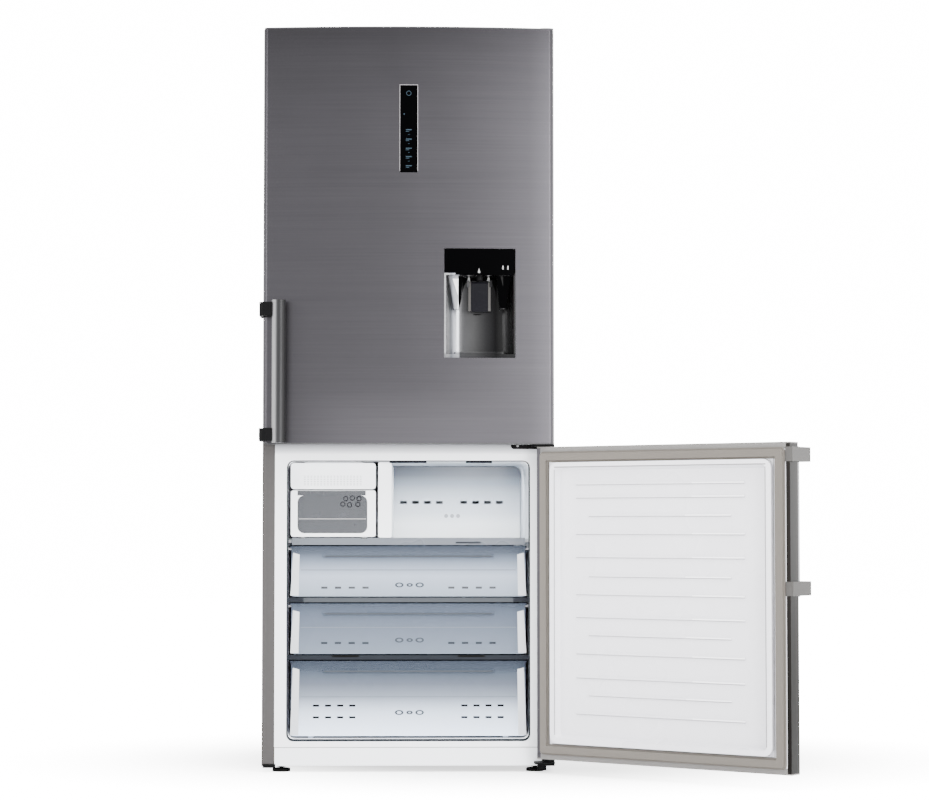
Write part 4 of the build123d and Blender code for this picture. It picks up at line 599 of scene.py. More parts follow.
    mark_blue: Finish = Finish("dim_blue_print", Surface.MOULDED, (0.013, 0.026, 0.037),
                               (0.018, 0.032, 0.044), 0.5, grain=900.0, bump=0.0, specular=0.1)
    # Painted highlights in the dispenser's niche.
    highlight_white: Finish = Finish("white_painted_highlight", Surface.MOULDED, (0.8, 0.8, 0.8), (0.84, 0.84, 0.84), 0.4,
                                grain=900.0, bump=0.0)
    # Painted highlight on the display's bevel.
    edge_highlight: Finish = Finish("painted_bevel_highlight", Surface.BRUSHED, (0.2, 0.19, 0.2), (0.24, 0.23, 0.24),
                                 0.4, metallic=0.4, grain=900.0, bump=0.0)
    # Dark plastic of the dispenser's lever and dark print on the ice window; also the painted shade behind
    # the lower drawer's slots.
    dark_plastic_print_and_shade: Finish = Finish("dark_plastic_print_and_painted_shade", Surface.MOULDED, (0.0035, 0.0035, 0.0048),
                                 (0.0045, 0.0045, 0.006), 0.4, grain=2400.0, bump=0.1, specular=0.05)
    seam_grey: Finish = Finish("soft_moulded_line", Surface.MOULDED, (0.105, 0.12, 0.145),
                               (0.12, 0.135, 0.16), 0.5, grain=900.0, bump=0.0, specular=0.1)
    # Dark print of the drawers' outlines, and painted shade in the grip grooves and behind the middle
    # drawer's slots.
    shade_and_print_dark: Finish = Finish("dark_print_and_painted_shade", Surface.MOULDED, (0.03, 0.036, 0.045), (0.04, 0.046, 0.055),
                               0.5, grain=900.0, bump=0.0, specular=0.1)
    post_white: Finish = Finish("milky_side_post", Surface.CLEAR, (0.7, 0.72, 0.75), (0.74, 0.76, 0.79),
                                0.35, grain=900.0, bump=0.02, opacity=0.55)
    grille_print: Finish = Finish("grille_dashes", Surface.MOULDED, (0.3, 0.31, 0.33), (0.34, 0.35, 0.37),
                                  0.5, grain=900.0, bump=0.0)
    lamp_grey: Finish = Finish("lamp_grey", Surface.MOULDED, (0.24, 0.25, 0.27), (0.28, 0.29, 0.31), 0.4,
                               grain=900.0, bump=0.0)
    # Painted shade behind the upper drawer's slots.
    slot_shade_grey: Finish = Finish("grey_painted_slot_shade", Surface.MOULDED, (0.03, 0.033, 0.039), (0.036, 0.039, 0.045),
                               0.5, grain=900.0, bump=0.0)

    def by_node(self) -> dict[str, Finish]:
        """Finish of each CAD node.

        Returns:
            Finishes by node name.
        """
        groups = {
            "door_steel": ["upper_door_skin"],
            "freezer_steel": ["freezer_door_skin"],
            "cabinet_grey": ["outer_wrapper"],
            "zinc": ["back_panel", "top_hinge"],
            "black_frame": ["base_frame", "middle_hinge", "bottom_hinge"],
            "foam": ["foam_insulation"],
            "white_liner": ["fridge_liner", "upper_door_liner"],
            "door_liner": ["freezer_door_liner"],
            "deep_liner": ["freezer_liner"],
            "freezer_cover": ["evaporator_cover"],
            "rail_white": ["centre_rail"],
            "white_plastic": ["kick_panel", "fridge_air_duct", "ice_maker_housing", "compartment_divider",
                              "freezer_fan", "ice_tray", "ice_bin"],
            "black_plastic": ["top_hinge_cover", "drain_tray", "compressor_cover", "front_left_foot",
                              "front_right_foot", "condenser_fan", "dispenser_nozzle",
                              "upper_handle_brackets"],
            "reflection_grey": ["freezer_handle_brackets"],
            "upper_bar": ["upper_handle_bar"],
            "cap_grey": ["upper_door_caps"],
            "cap_highlight": ["freezer_door_caps"],
            "black_gloss": ["display_panel", "dispenser_panel"],
            "dark_plastic_print_and_shade": ["dispenser_lever"],
            "niche_silver": ["dispenser_housing", "dispenser_drip_tray"],
            "trim_silver": ["fridge_shelf_trims", "freezer_shelf_trim"],
            "bright": ["hinge_screws", "freezer_handle_bar"],
            "enamel": ["compressor"],
            "coil": ["condenser", "evaporator"],
            "clear": ["crisper_left", "crisper_right", "upper_door_bins", "fridge_lamp"],
            "drawer_clear": ["freezer_drawer_upper", "freezer_drawer_middle", "freezer_drawer_lower"],
            "glass": ["fridge_shelf_glass", "freezer_shelf_glass"],
            "smoke": ["ice_bin_window"],
            "seal": ["upper_door_gasket", "freezer_door_gasket"],
            "nylon": ["rear_left_roller", "rear_right_roller"],
        }
        return {node: getattr(self, name) for name, nodes in groups.items() for node in nodes}


@dataclass
class FrameDresser:
    """Gives every CAD node its finish, soft edges and smooth shading.

    Args:
        shop: where materials come from.
        book: the finishes.
        edge_width: usual width of the rounded edges in metres.
        skin_edge_width: their width on the thin door skins.
        foam_edge_width: their width on the foam.
        edge_segments: steps of each rounded edge.
        edge_angle: least angle in degrees of an edge that is rounded.
        weld_distance: how close corners have to be to be joined.
    """

    shop: MaterialShop
    book: FinishBook
    edge_width: float = 0.6 * MM
    skin_edge_width: float = 0.3 * MM
    foam_edge_width: float = 0.2 * MM
    edge_segments: int = 2
    edge_angle: float = 40.0
    weld_distance: float = 0.01 * MM

    def dress(self, nodes: dict[str, bpy.types.Object]) -> None:
        """Dress all nodes.

        Args:
            nodes: CAD objects by name.
        """
        finishes = self.book.by_node()
        for name, obj in nodes.items():
            obj.data.materials.clear()
            obj.data.materials.append(self.shop.get(finishes[name]))
            self._soften(name, obj)
            LOG.info("%s is dressed in %s", name, finishes[name].name)

    def _width(self, name: str) -> float:
        """Give the width of a node's rounded edges.

        Args:
            name: the node's name.

        Returns:
            The width in metres.
        """
        if name == "foam_insulation":
            return self.foam_edge_width
        return self.skin_edge_width if name.endswith("_door_skin") else self.edge_width

    def _soften(self, name: str, obj: bpy.types.Object) -> None:
        """Weld the mesh, round its edges a little and shade it smooth.

        Args:
            name: the node's name.
            obj: its object.
        """
        custom = obj.data.attributes.get("custom_normal")
        if custom is not None:
            obj.data.attributes.remove(custom)
        for face in obj.data.polygons:
            face.use_smooth = True
        weld = obj.modifiers.new("weld", "WELD")
        weld.merge_threshold = self.weld_distance
        bevel = obj.modifiers.new("soft_edges", "BEVEL")
        bevel.width = self._width(name)
        bevel.segments = self.edge_segments
        bevel.limit_method = "ANGLE"
        bevel.angle_limit = math.radians(self.edge_angle)
        bevel.harden_normals = True


@dataclass(frozen=True)
class Plate:
    """Flat plate that stands upright and is thickened towards the viewer.

    Args:
        corners: its corners in metres, in order.
        thickness: how far it stands out along -y, in metres.
    """

    corners: list[Point]
    thickness: float


@dataclass(frozen=True)
class Ring:
    """Ring of short flat cells.

    Args:
        radius: its outer radius in metres.
        band: width of the band in metres.
        sides: how many cells it has.
        stretch: factors that widen it along x and z.
        phase: share of a cell by which it is turned.
    """

    radius: float
    band: float
    sides: int
    stretch: Pair = (1.0, 1.0)
    phase: float = 0.0

    def cells(self, x: float, z: float) -> list[Shape]:
        """List the cells of the ring round a place.

        Args:
            x: the place across, in metres.
            z: its height.

        Returns:
            The corners of each cell.
        """
        wide, tall = self.stretch
        cells = []
        for index in range(self.sides):
            cell = []
            for step, reach in ((index, self.radius), (index + 1, self.radius),
                                (index + 1, self.radius - self.band), (index, self.radius - self.band)):
                turn = 2 * math.pi * (step + self.phase) / self.sides
                cell.append((x + wide * reach * math.cos(turn), z + tall * reach * math.sin(turn)))
            cells.append(cell)
        return cells


@dataclass(frozen=True)
class RoundedBox:
    """Upright rectangle with rounded corners, as far to the left of the middle as to the right.

    Args:
        half_width: half its width in metres.
        low: z of its lower edge.
        high: z of its upper edge.
        radius: radius of its corners.
        steps: steps of each corner.
    """

    half_width: float
    low: float
    high: float
    radius: float
    steps: int = 4

    def corners(self) -> Shape:
        """List its corners, from the right side upwards and round to the left.

        Returns:
            Its corners in x and z.
        """
        side = self.half_width - self.radius
        upper, lower = self.high - self.radius, self.low + self.radius
        points = []
        for quarter, (x, z) in enumerate(((side, upper), (-side, upper), (-side, lower), (side, lower))):
            for step in range(self.steps + 1):
                turn = math.radians(90 * (quarter + step / self.steps))
                points.append((x + self.radius * math.cos(turn), z + self.radius * math.sin(turn)))
        return points


@dataclass(frozen=True)
class Swing:
    """Turn about an upright hinge.

    Args:
        hinge: the hinge's place in x and y.
        degrees: how far it turns.
    """

    hinge: Pair
    degrees: float

    def apply(self, mesh: bmesh.types.BMesh) -> None:
        """Turn every corner of a mesh.

        Args:
            mesh: the mesh to turn.
        """
        turn = math.radians(self.degrees)
        hinge_x, hinge_y = self.hinge
        for vert in mesh.verts:
            x, y = vert.co.x - hinge_x, vert.co.y - hinge_y
            vert.co.x = hinge_x + x * math.cos(turn) - y * math.sin(turn)
            vert.co.y = hinge_y + x * math.sin(turn) + y * math.cos(turn)


def box(limits: Limits) -> Shape:
    """List the corners of an upright rectangle.

    Args:
        limits: its least and greatest x, then its least and greatest z.

    Returns:
        Its four corners in x and z.
    """
    left, right, low, high = limits
    return [(left, low), (right, low), (right, high), (left, high)]


def bar(x: float, z: float, size: Pair) -> Shape:
    """List the corners of an upright rectangle round its middle.

    Args:
        x: the middle's place across.
        z: the middle's height.
        size: width and height of the rectangle.

    Returns:
        Its four corners in x and z.
    """
    half_width, half_height = size[0] / 2, size[1] / 2
    return box((x - half_width, x + half_width, z - half_height, z + half_height))


def disc(x: float, z: float, radius: float, sides: int) -> Shape:
    """List the corners of a round mark.

    Args:
        x: its middle's place across.
        z: its middle's height.
        radius: its radius.
        sides: how many corners it has.

    Returns:
        Its corners in x and z.
    """
    turns = [2 * math.pi * index / sides for index in range(sides)]
    return [(x + radius * math.cos(turn), z + radius * math.sin(turn)) for turn in turns]


def upright(shapes: Iterable[Shape], y: float, thickness: float) -> list[Plate]:
    """Stand shapes up as flat plates at one depth.

    Args:
        shapes: the corners of each shape in x and z.
        y: depth of the plates' backs.
        thickness: how far the plates stand out.

    Returns:
        The plates.
    """
    return [Plate([(x, y, z) for x, z in shape], thickness) for shape in shapes]


def as_object(name: str, mesh: bmesh.types.BMesh) -> bpy.types.Object:
    """Turn a bmesh into an object of the scene.

    Args:
        name: the object's name.
        mesh: its geometry, which is freed.

    Returns:
        The new object.
    """
    data = bpy.data.meshes.new(name)
    mesh.to_mesh(data)
    mesh.free()
    obj = bpy.data.objects.new(name, data)
    bpy.context.scene.collection.objects.link(obj)
    return obj


@dataclass
class MeshMaker:
    """Builds detail pieces and lets them ride on a body.

    Args:
        shop: where materials come from.
    """

    shop: MaterialShop

    def piece(self, name: str, body: str, finish: Finish, plates: Iterable[Plate],
              swing: Swing | None = None) -> None:
        """Build a piece out of plates, dress it and let it ride on a body.

        Args:
            name: the piece's name.
            body: the CAD body that it moves with.
            finish: its finish.
            plates: what it is made of.
            swing: how it is turned to its place, where it isn't built in it.
        """
        mesh = bmesh.new()
        for plate in plates:
            self._add(mesh, plate)
        if swing is not None:
            swing.apply(mesh)
        obj = as_object(name, mesh)
        obj.data.materials.append(self.shop.get(finish))
        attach(obj, body)
        LOG.info("%s rides on %s", name, body)

    @staticmethod
    def _add(mesh: bmesh.types.BMesh, plate: Plate) -> None:
        """Add one plate to a mesh.

        Args:
            mesh: the mesh to add to.
            plate: the plate.
        """
        back = [mesh.verts.new(corner) for corner in plate.corners]
        front = [mesh.verts.new((x, y - plate.thickness, z)) for x, y, z in plate.corners]
        mesh.faces.new(front)
        mesh.faces.new(list(reversed(back)))
        count = len(plate.corners)
        for index in range(count):
            after = (index + 1) % count
            mesh.faces.new((front[after], front[index], back[index], back[after]))


@dataclass(frozen=True)
class BowedFront:
    """Plan curve of a closed door's front.

    Args:
        half_width: half the door's width in metres.
        side_y: y of the front at the sides.
        crown_y: y of the front in the middle.
    """

    half_width: float = 0.346
    side_y: float = -0.376
    crown_y: float = -0.398

    def depth_at(self, x: float) -> float:
        """Give y of the front at x.

        Args:
            x: place across the door, in metres.

        Returns:
            The y of the surface.
        """
        bow = self.side_y - self.crown_y
        radius = (self.half_width ** 2 + bow ** 2) / (2 * bow)
        return self.crown_y + radius - math.sqrt(radius ** 2 - x ** 2)

    def laid_on(self, shapes: Iterable[Shape], thickness: float) -> list[Plate]:
        """Lay shapes on the bowed front.

        Args:
            shapes: the corners of each shape in x and z.
            thickness: how far they stand out.

        Returns:
            The plates.
        """
        return [Plate([(x, self.depth_at(x), z) for x, z in shape], thickness) for shape in shapes]


@dataclass
class DisplayMarks:
    """Marks printed on the display, of a generic design, and a painted highlight line round its bevel.

    Args:
        maker: builds the pieces.
        book: the finishes.
        front: curve of the door's front.
        thickness: how far the marks stand out.
        ring: the ring at the top.
        ring_place: x and z of the ring's middle.
        dot_place: x and z of the dot under it.
        dot_radius: radius of the dot.
        dot_sides: corners of the dot.
        glyph_heights: z of each glyph.
        glyph_bar: width and height of a glyph's upper bar.
        under_bar: width and height of its lower bar.
        under_shift: how far the lower bar is moved along x and z.
        tick_heights: z of each tick between the glyphs.
        tick_bar: width and height of a tick.
        edge_side: x of the painted highlight line down the right side.
        edge_middle: z of the middle of both side lines.
        side_line: width and height of a side line.
        edge_top: z of the line over the top.
        top_line: width and height of the line over the top.
    """

    maker: MeshMaker
    book: FinishBook
    front: BowedFront = BowedFront()
    thickness: float = 0.2 * MM
    ring: Ring = Ring(radius=0.006, band=0.0012, sides=24)
    ring_place: Pair = (0.0, 1.618)
    dot_place: Pair = (-0.011, 1.568)
    dot_radius: float = 0.0016
    dot_sides: int = 20
    glyph_heights: tuple[float, ...] = (1.5305, 1.508, 1.486, 1.466, 1.444)
    glyph_bar: Pair = (0.014, 0.0022)
    under_bar: Pair = (0.008, 0.0014)
    under_shift: Pair = (-0.003, -0.0038)
    tick_heights: tuple[float, ...] = (1.519, 1.497, 1.476, 1.455)
    tick_bar: Pair = (0.004, 0.0008)
    edge_side: float = 0.0214
    edge_middle: float = 1.535
    side_line: Pair = (0.0011, 0.206)
    edge_top: float = 1.6383
    top_line: Pair = (0.0439, 0.0011)

    def build(self) -> None:
        """Add the marks and the painted highlight line."""
        shapes = self.ring.cells(*self.ring_place)
        shapes.append(disc(*self.dot_place, self.dot_radius, self.dot_sides))
        shift_x, shift_z = self.under_shift
        for z in self.glyph_heights:
            shapes.append(bar(0.0, z, self.glyph_bar))
            shapes.append(bar(shift_x, z + shift_z, self.under_bar))
        shapes += [bar(0.0, z, self.tick_bar) for z in self.tick_heights]
        self._print("display_marks", self.book.mark_blue, shapes)
        # Lines of painted highlight round the display's bevel.
        edges = [bar(side * self.edge_side, self.edge_middle, self.side_line) for side in (-1, 1)]
        edges.append(bar(0.0, self.edge_top, self.top_line))
        self._print("display_bevel_highlight", self.book.edge_highlight, edges)

    def _print(self, name: str, finish: Finish, shapes: list[Shape]) -> None:
        """Print shapes on the door as one piece.

        Args:
            name: the piece's name.
            finish: its finish.
            shapes: the corners of each shape in x and z.
        """
        self.maker.piece(name, "upper_door", finish, self.front.laid_on(shapes, self.thickness))


@dataclass
class DispenserMarks:
    """Two lamps and a drop printed over the dispenser's niche.

    Args:
        maker: builds the pieces.
        book: the finishes.
        front: curve of the door's front.
        thickness: how far the marks stand out.
        lamp_places: x of each lamp.
        lamp_height: z of the lamps.
        lamp_bar: width and height of a lamp.
        drop_place: x and z of the drop.
        drop_radius: radius of its round foot.
        drop_length: its length.
        drop_steps: steps of its round foot.
    """

    maker: MeshMaker
    book: FinishBook
    front: BowedFront = BowedFront()
    thickness: float = 0.2 * MM
    lamp_places: tuple[float, ...] = (0.2247, 0.2366)
    lamp_height: float = 1.2015
    lamp_bar: Pair = (0.003, 0.0085)
    drop_place: Pair = (0.1676, 1.1945)
    drop_radius: float = 0.0028
    drop_length: float = 0.0105
    drop_steps: int = 12

    def build(self) -> None:
        """Add the marks as one piece."""
        shapes = [bar(x, self.lamp_height, self.lamp_bar) for x in self.lamp_places]
        shapes.append(self._drop())
        plates = self.front.laid_on(shapes, self.thickness)
        self.maker.piece("dispenser_marks", "upper_door", self.book.mark_light, plates)

    def _drop(self) -> Shape:
        """List the corners of a drop: a round foot under a point.

        Returns:
            Its corners in x and z.
        """
        x, z = self.drop_place
        foot = z - self.drop_length / 3
        turns = [math.pi + math.pi * index / self.drop_steps for index in range(self.drop_steps + 1)]
        round_foot = [(x + self.drop_radius * math.cos(turn), foot + self.drop_radius * math.sin(turn))
                      for turn in turns]
        return round_foot + [(x, z + self.drop_length / 2)]


@dataclass(frozen=True)
class DrawerPlan:
    """Where the marks of one drawer's front stand.

    Args:
        body: the drawer's CAD body.
        low: z of the front's lower edge.
        high: z of its upper edge.
        print_height: z of the outlines printed on it.
        slot_middle: distance of each group of slots from the drawer's middle.
        slot_pitch: distance between two slots.
        slot_rows: z of each row of slots.
        slot_shade: the finish book's entry for the painted shade behind the slots.
    """

    body: str
    low: float
    high: float
    print_height: float
    slot_middle: float
    slot_pitch: float
    slot_rows: tuple[float, ...]
    slot_shade: str


@dataclass
class DrawerMarks:
    """Painted shade in the grip groove, side posts, moulded line, painted slot shades and generic outlines
    on the front of each drawer.

    Args:
        maker: builds the pieces.
        book: the finishes.
        plans: the drawers.
        front_y: y of the plates on the fronts.
        grip_y: y of the grip's plate of painted shade.
        shade_y: y of the plates behind the slots.
        thin: thickness of printed outlines.
        flat: thickness of lines.
        thick: thickness of posts and shades.
        grip_drop: how far the grip lies under the front's upper edge.
        grip_half: half the grip's length without its tapered ends.
        grip_tip: half its length with them.
        grip_rise: half its height.
        post_foot: outer and inner x of a post's foot.
        post_head: outer and inner x of its head.
        post_foot_rise: how far the foot lies over the front's lower edge.
        post_head_drops: how far the head's outer and inner corner lie under the upper edge.
        line_share: share of the front's height where the moulded line runs.
        line_half: half its length.
        line_rise: its height.
        slot_bar: width and height of a slot's shade.
        slot_count: slots in each group.
        print_rings: x and radius of each printed outline.
        print_band: band of each printed outline.
        print_sides: cells of each printed outline.
        print_stretch: factors that widen the outlines along x and z.
    """

    maker: MeshMaker
    book: FinishBook
    plans: tuple[DrawerPlan, ...] = (
        DrawerPlan("freezer_drawer_upper", low=0.4175, high=0.538, print_height=0.445, slot_middle=0.1526,
                   slot_pitch=0.033, slot_rows=(0.4385,), slot_shade="slot_shade_grey"),
        DrawerPlan("freezer_drawer_middle", low=0.28, high=0.4005, print_height=0.313, slot_middle=0.1526,
                   slot_pitch=0.033, slot_rows=(0.306,), slot_shade="shade_and_print_dark"),
        DrawerPlan("freezer_drawer_lower", low=0.084, high=0.263, print_height=0.14, slot_middle=0.1779,
                   slot_pitch=0.029, slot_rows=(0.1285, 0.1565), slot_shade="dark_plastic_print_and_shade"),
    )
    front_y: float = -0.3001
    grip_y: float = -0.3051
    shade_y: float = -0.2962
    thin: float = 0.1 * MM
    flat: float = 0.2 * MM
    thick: float = 0.3 * MM
    grip_drop: float = 0.0243
    grip_half: float = 0.197
    grip_tip: float = 0.2048
    grip_rise: float = 0.0022
    post_foot: Pair = (0.283, 0.2635)
    post_head: Pair = (0.277, 0.2615)
    post_foot_rise: float = 0.002
    post_head_drops: Pair = (0.016, 0.02)
    line_share: float = 0.52
    line_half: float = 0.258
    line_rise: float = 0.0016
    slot_bar: Pair = (0.017, 0.0064)
    slot_count: int = 4
    print_rings: tuple[Pair, ...] = ((-0.022, 0.008), (0.003, 0.006), (0.027, 0.008))
    print_band: float = 0.0036
    print_sides: int = 18
    print_stretch: Pair = (1.3, 0.75)

    def build(self) -> None:
        """Add the marks of each drawer."""
        for plan in self.plans:
            self._outlines(plan)
            # The grip is a plate of painted shade in its groove.
            self._plate(plan, "grip", self.book.shade_and_print_dark, [self._grip(plan)], self.grip_y, self.flat)
            self._plate(plan, "posts", self.book.post_white, self._posts(plan), self.front_y, self.thick)
            self._plate(plan, "line", self.book.seam_grey, [self._line(plan)], self.front_y, self.flat)
            shade = getattr(self.book, plan.slot_shade)
            self._plate(plan, "slot_shades", shade, self._slots(plan), self.shade_y, self.thick)

    def _plate(self, plan: DrawerPlan, part: str, finish: Finish, shapes: list[Shape], y: float,
               thickness: float) -> None:
        """Add flat plates on one drawer as one piece.

        Args:
            plan: the drawer.
            part: what the piece is, for its name.
            finish: its finish.
            shapes: the corners of each plate in x and z.
            y: depth of the plates' backs.
            thickness: how far the plates stand out.
        """
        self.maker.piece(f"{plan.body}_{part}", plan.body, finish, upright(shapes, y, thickness))

    def _grip(self, plan: DrawerPlan) -> Shape:
        """List the corners of the painted shade in the grip groove, with its tapered ends.

        Args:
            plan: the drawer.

        Returns:
            Its corners in x and z.
        """
        z = plan.high - self.grip_drop
        low, high = z - self.grip_rise, z + self.grip_rise
        return [(-self.grip_tip, z), (-self.grip_half, low), (self.grip_half, low), (self.grip_tip, z),
                (self.grip_half, high), (-self.grip_half, high)]

    def _posts(self, plan: DrawerPlan) -> list[Shape]:
        """List the pale posts at both sides of the front.

        Args:
            plan: the drawer.

        Returns:
            The corners of each post in x and z.
        """
        foot = plan.low + self.post_foot_rise
        outer_head, inner_head = (plan.high - drop for drop in self.post_head_drops)
        corners = [(self.post_foot[0], foot), (self.post_foot[1], foot), (self.post_head[1], inner_head),
                   (self.post_head[0], outer_head)]
        return [[(-x, z) for x, z in corners], list(reversed(corners))]

    def _line(self, plan: DrawerPlan) -> Shape:
        """List the corners of the faint moulded line across the front.

        Args:
            plan: the drawer.

        Returns:
            Its corners in x and z.
        """
        low = plan.low + self.line_share * (plan.high - plan.low)
        return box((-self.line_half, self.line_half, low, low + self.line_rise))

    def _slots(self, plan: DrawerPlan) -> list[Shape]:
        """List the dark plates just behind the slots of the front, which paint the shade seen through them.

        Args:
            plan: the drawer.

        Returns:
            The corners of each plate in x and z.
        """
        first = -(self.slot_count - 1) / 2
        return [bar(side * plan.slot_middle + plan.slot_pitch * (first + index), z, self.slot_bar)
                for z in plan.slot_rows for side in (-1, 1) for index in range(self.slot_count)]

    def _outlines(self, plan: DrawerPlan) -> None:
        """Print three rounded outlines in a row on the front.

        Args:
            plan: the drawer.
        """
        cells = []
        for x, radius in self.print_rings:
            ring = Ring(radius, self.print_band, self.print_sides, self.print_stretch)
            cells += ring.cells(x, plan.print_height)
        self._plate(plan, "marks", self.book.shade_and_print_dark, cells, self.front_y, self.thin)


@dataclass
class IceMakerMarks:
    """Grille of the ice maker's panel and the marks on the ice bin's window.

    Args:
        maker: builds the pieces.
        book: the finishes.
        panel_y: y of the grille's dashes.
        window_y: y of what stands on the window.
        head_y: y of the window's head.
        thin: thickness of dashes and outlines.
        flat: thickness of the light line.
        thick: thickness of the head.
        line_limits: x and z limits of the light line across the window.
        head_limits: x and z limits of the window's head.
        outline: each of the small rounded outlines.
        outline_places: x and z of their middles.
        dash_start: x and z of the grille's first dash.
        dash_pitch: distance between dashes along x and z.
        dash_size: width and height of a dash.
        dash_columns: dashes in a row.
        dash_rows: rows of dashes.
    """

    maker: MeshMaker
    book: FinishBook
    panel_y: float = -0.3001
    window_y: float = -0.2976
    head_y: float = -0.2981
    thin: float = 0.1 * MM
    flat: float = 0.2 * MM
    thick: float = 0.3 * MM
    line_limits: Limits = (-0.264, -0.102, 0.6025, 0.6045)
    head_limits: Limits = (-0.267, -0.103, 0.6598, 0.6712)
    outline: Ring = Ring(radius=0.0066, band=0.0022, sides=8, phase=0.5)
    outline_places: tuple[Pair, ...] = ((-0.151, 0.652), (-0.135, 0.6535), (-0.119, 0.652),
                                        (-0.158, 0.639), (-0.142, 0.637), (-0.122, 0.6385))
    dash_start: Pair = (-0.2515, 0.6845)
    dash_pitch: Pair = (0.0079, 0.0042)
    dash_size: Pair = (0.0042, 0.0014)
    dash_columns: int = 18
    dash_rows: int = 6

    def build(self) -> None:
        """Add the marks of the window and the grille of the panel."""
        line = upright([box(self.line_limits)], self.window_y, self.flat)
        self.maker.piece("ice_window_line", "ice_bin", self.book.mark_light, line)
        cells = [cell for x, z in self.outline_places for cell in self.outline.cells(x, z)]
        outlines = upright(cells, self.window_y, self.thin)
        self.maker.piece("ice_window_outlines", "ice_bin", self.book.dark_plastic_print_and_shade, outlines)
        dashes = upright(self._dashes(), self.panel_y, self.thin)
        self.maker.piece("ice_maker_grille", "cabinet", self.book.grille_print, dashes)
        head = upright([box(self.head_limits)], self.head_y, self.thick)
        self.maker.piece("ice_window_head", "ice_bin", self.book.smoke, head)

    def _dashes(self) -> list[Shape]:
        """List the fine dashes of the grille.

        Returns:
            The corners of each dash in x and z.
        """
        width, height = self.dash_size
        dashes = []
        for row in range(self.dash_rows):
            z = self.dash_start[1] + self.dash_pitch[1] * row
            for column in range(self.dash_columns):
                x = self.dash_start[0] + self.dash_pitch[0] * column
                dashes.append(box((x, x + width, z, z + height)))
        return dashes


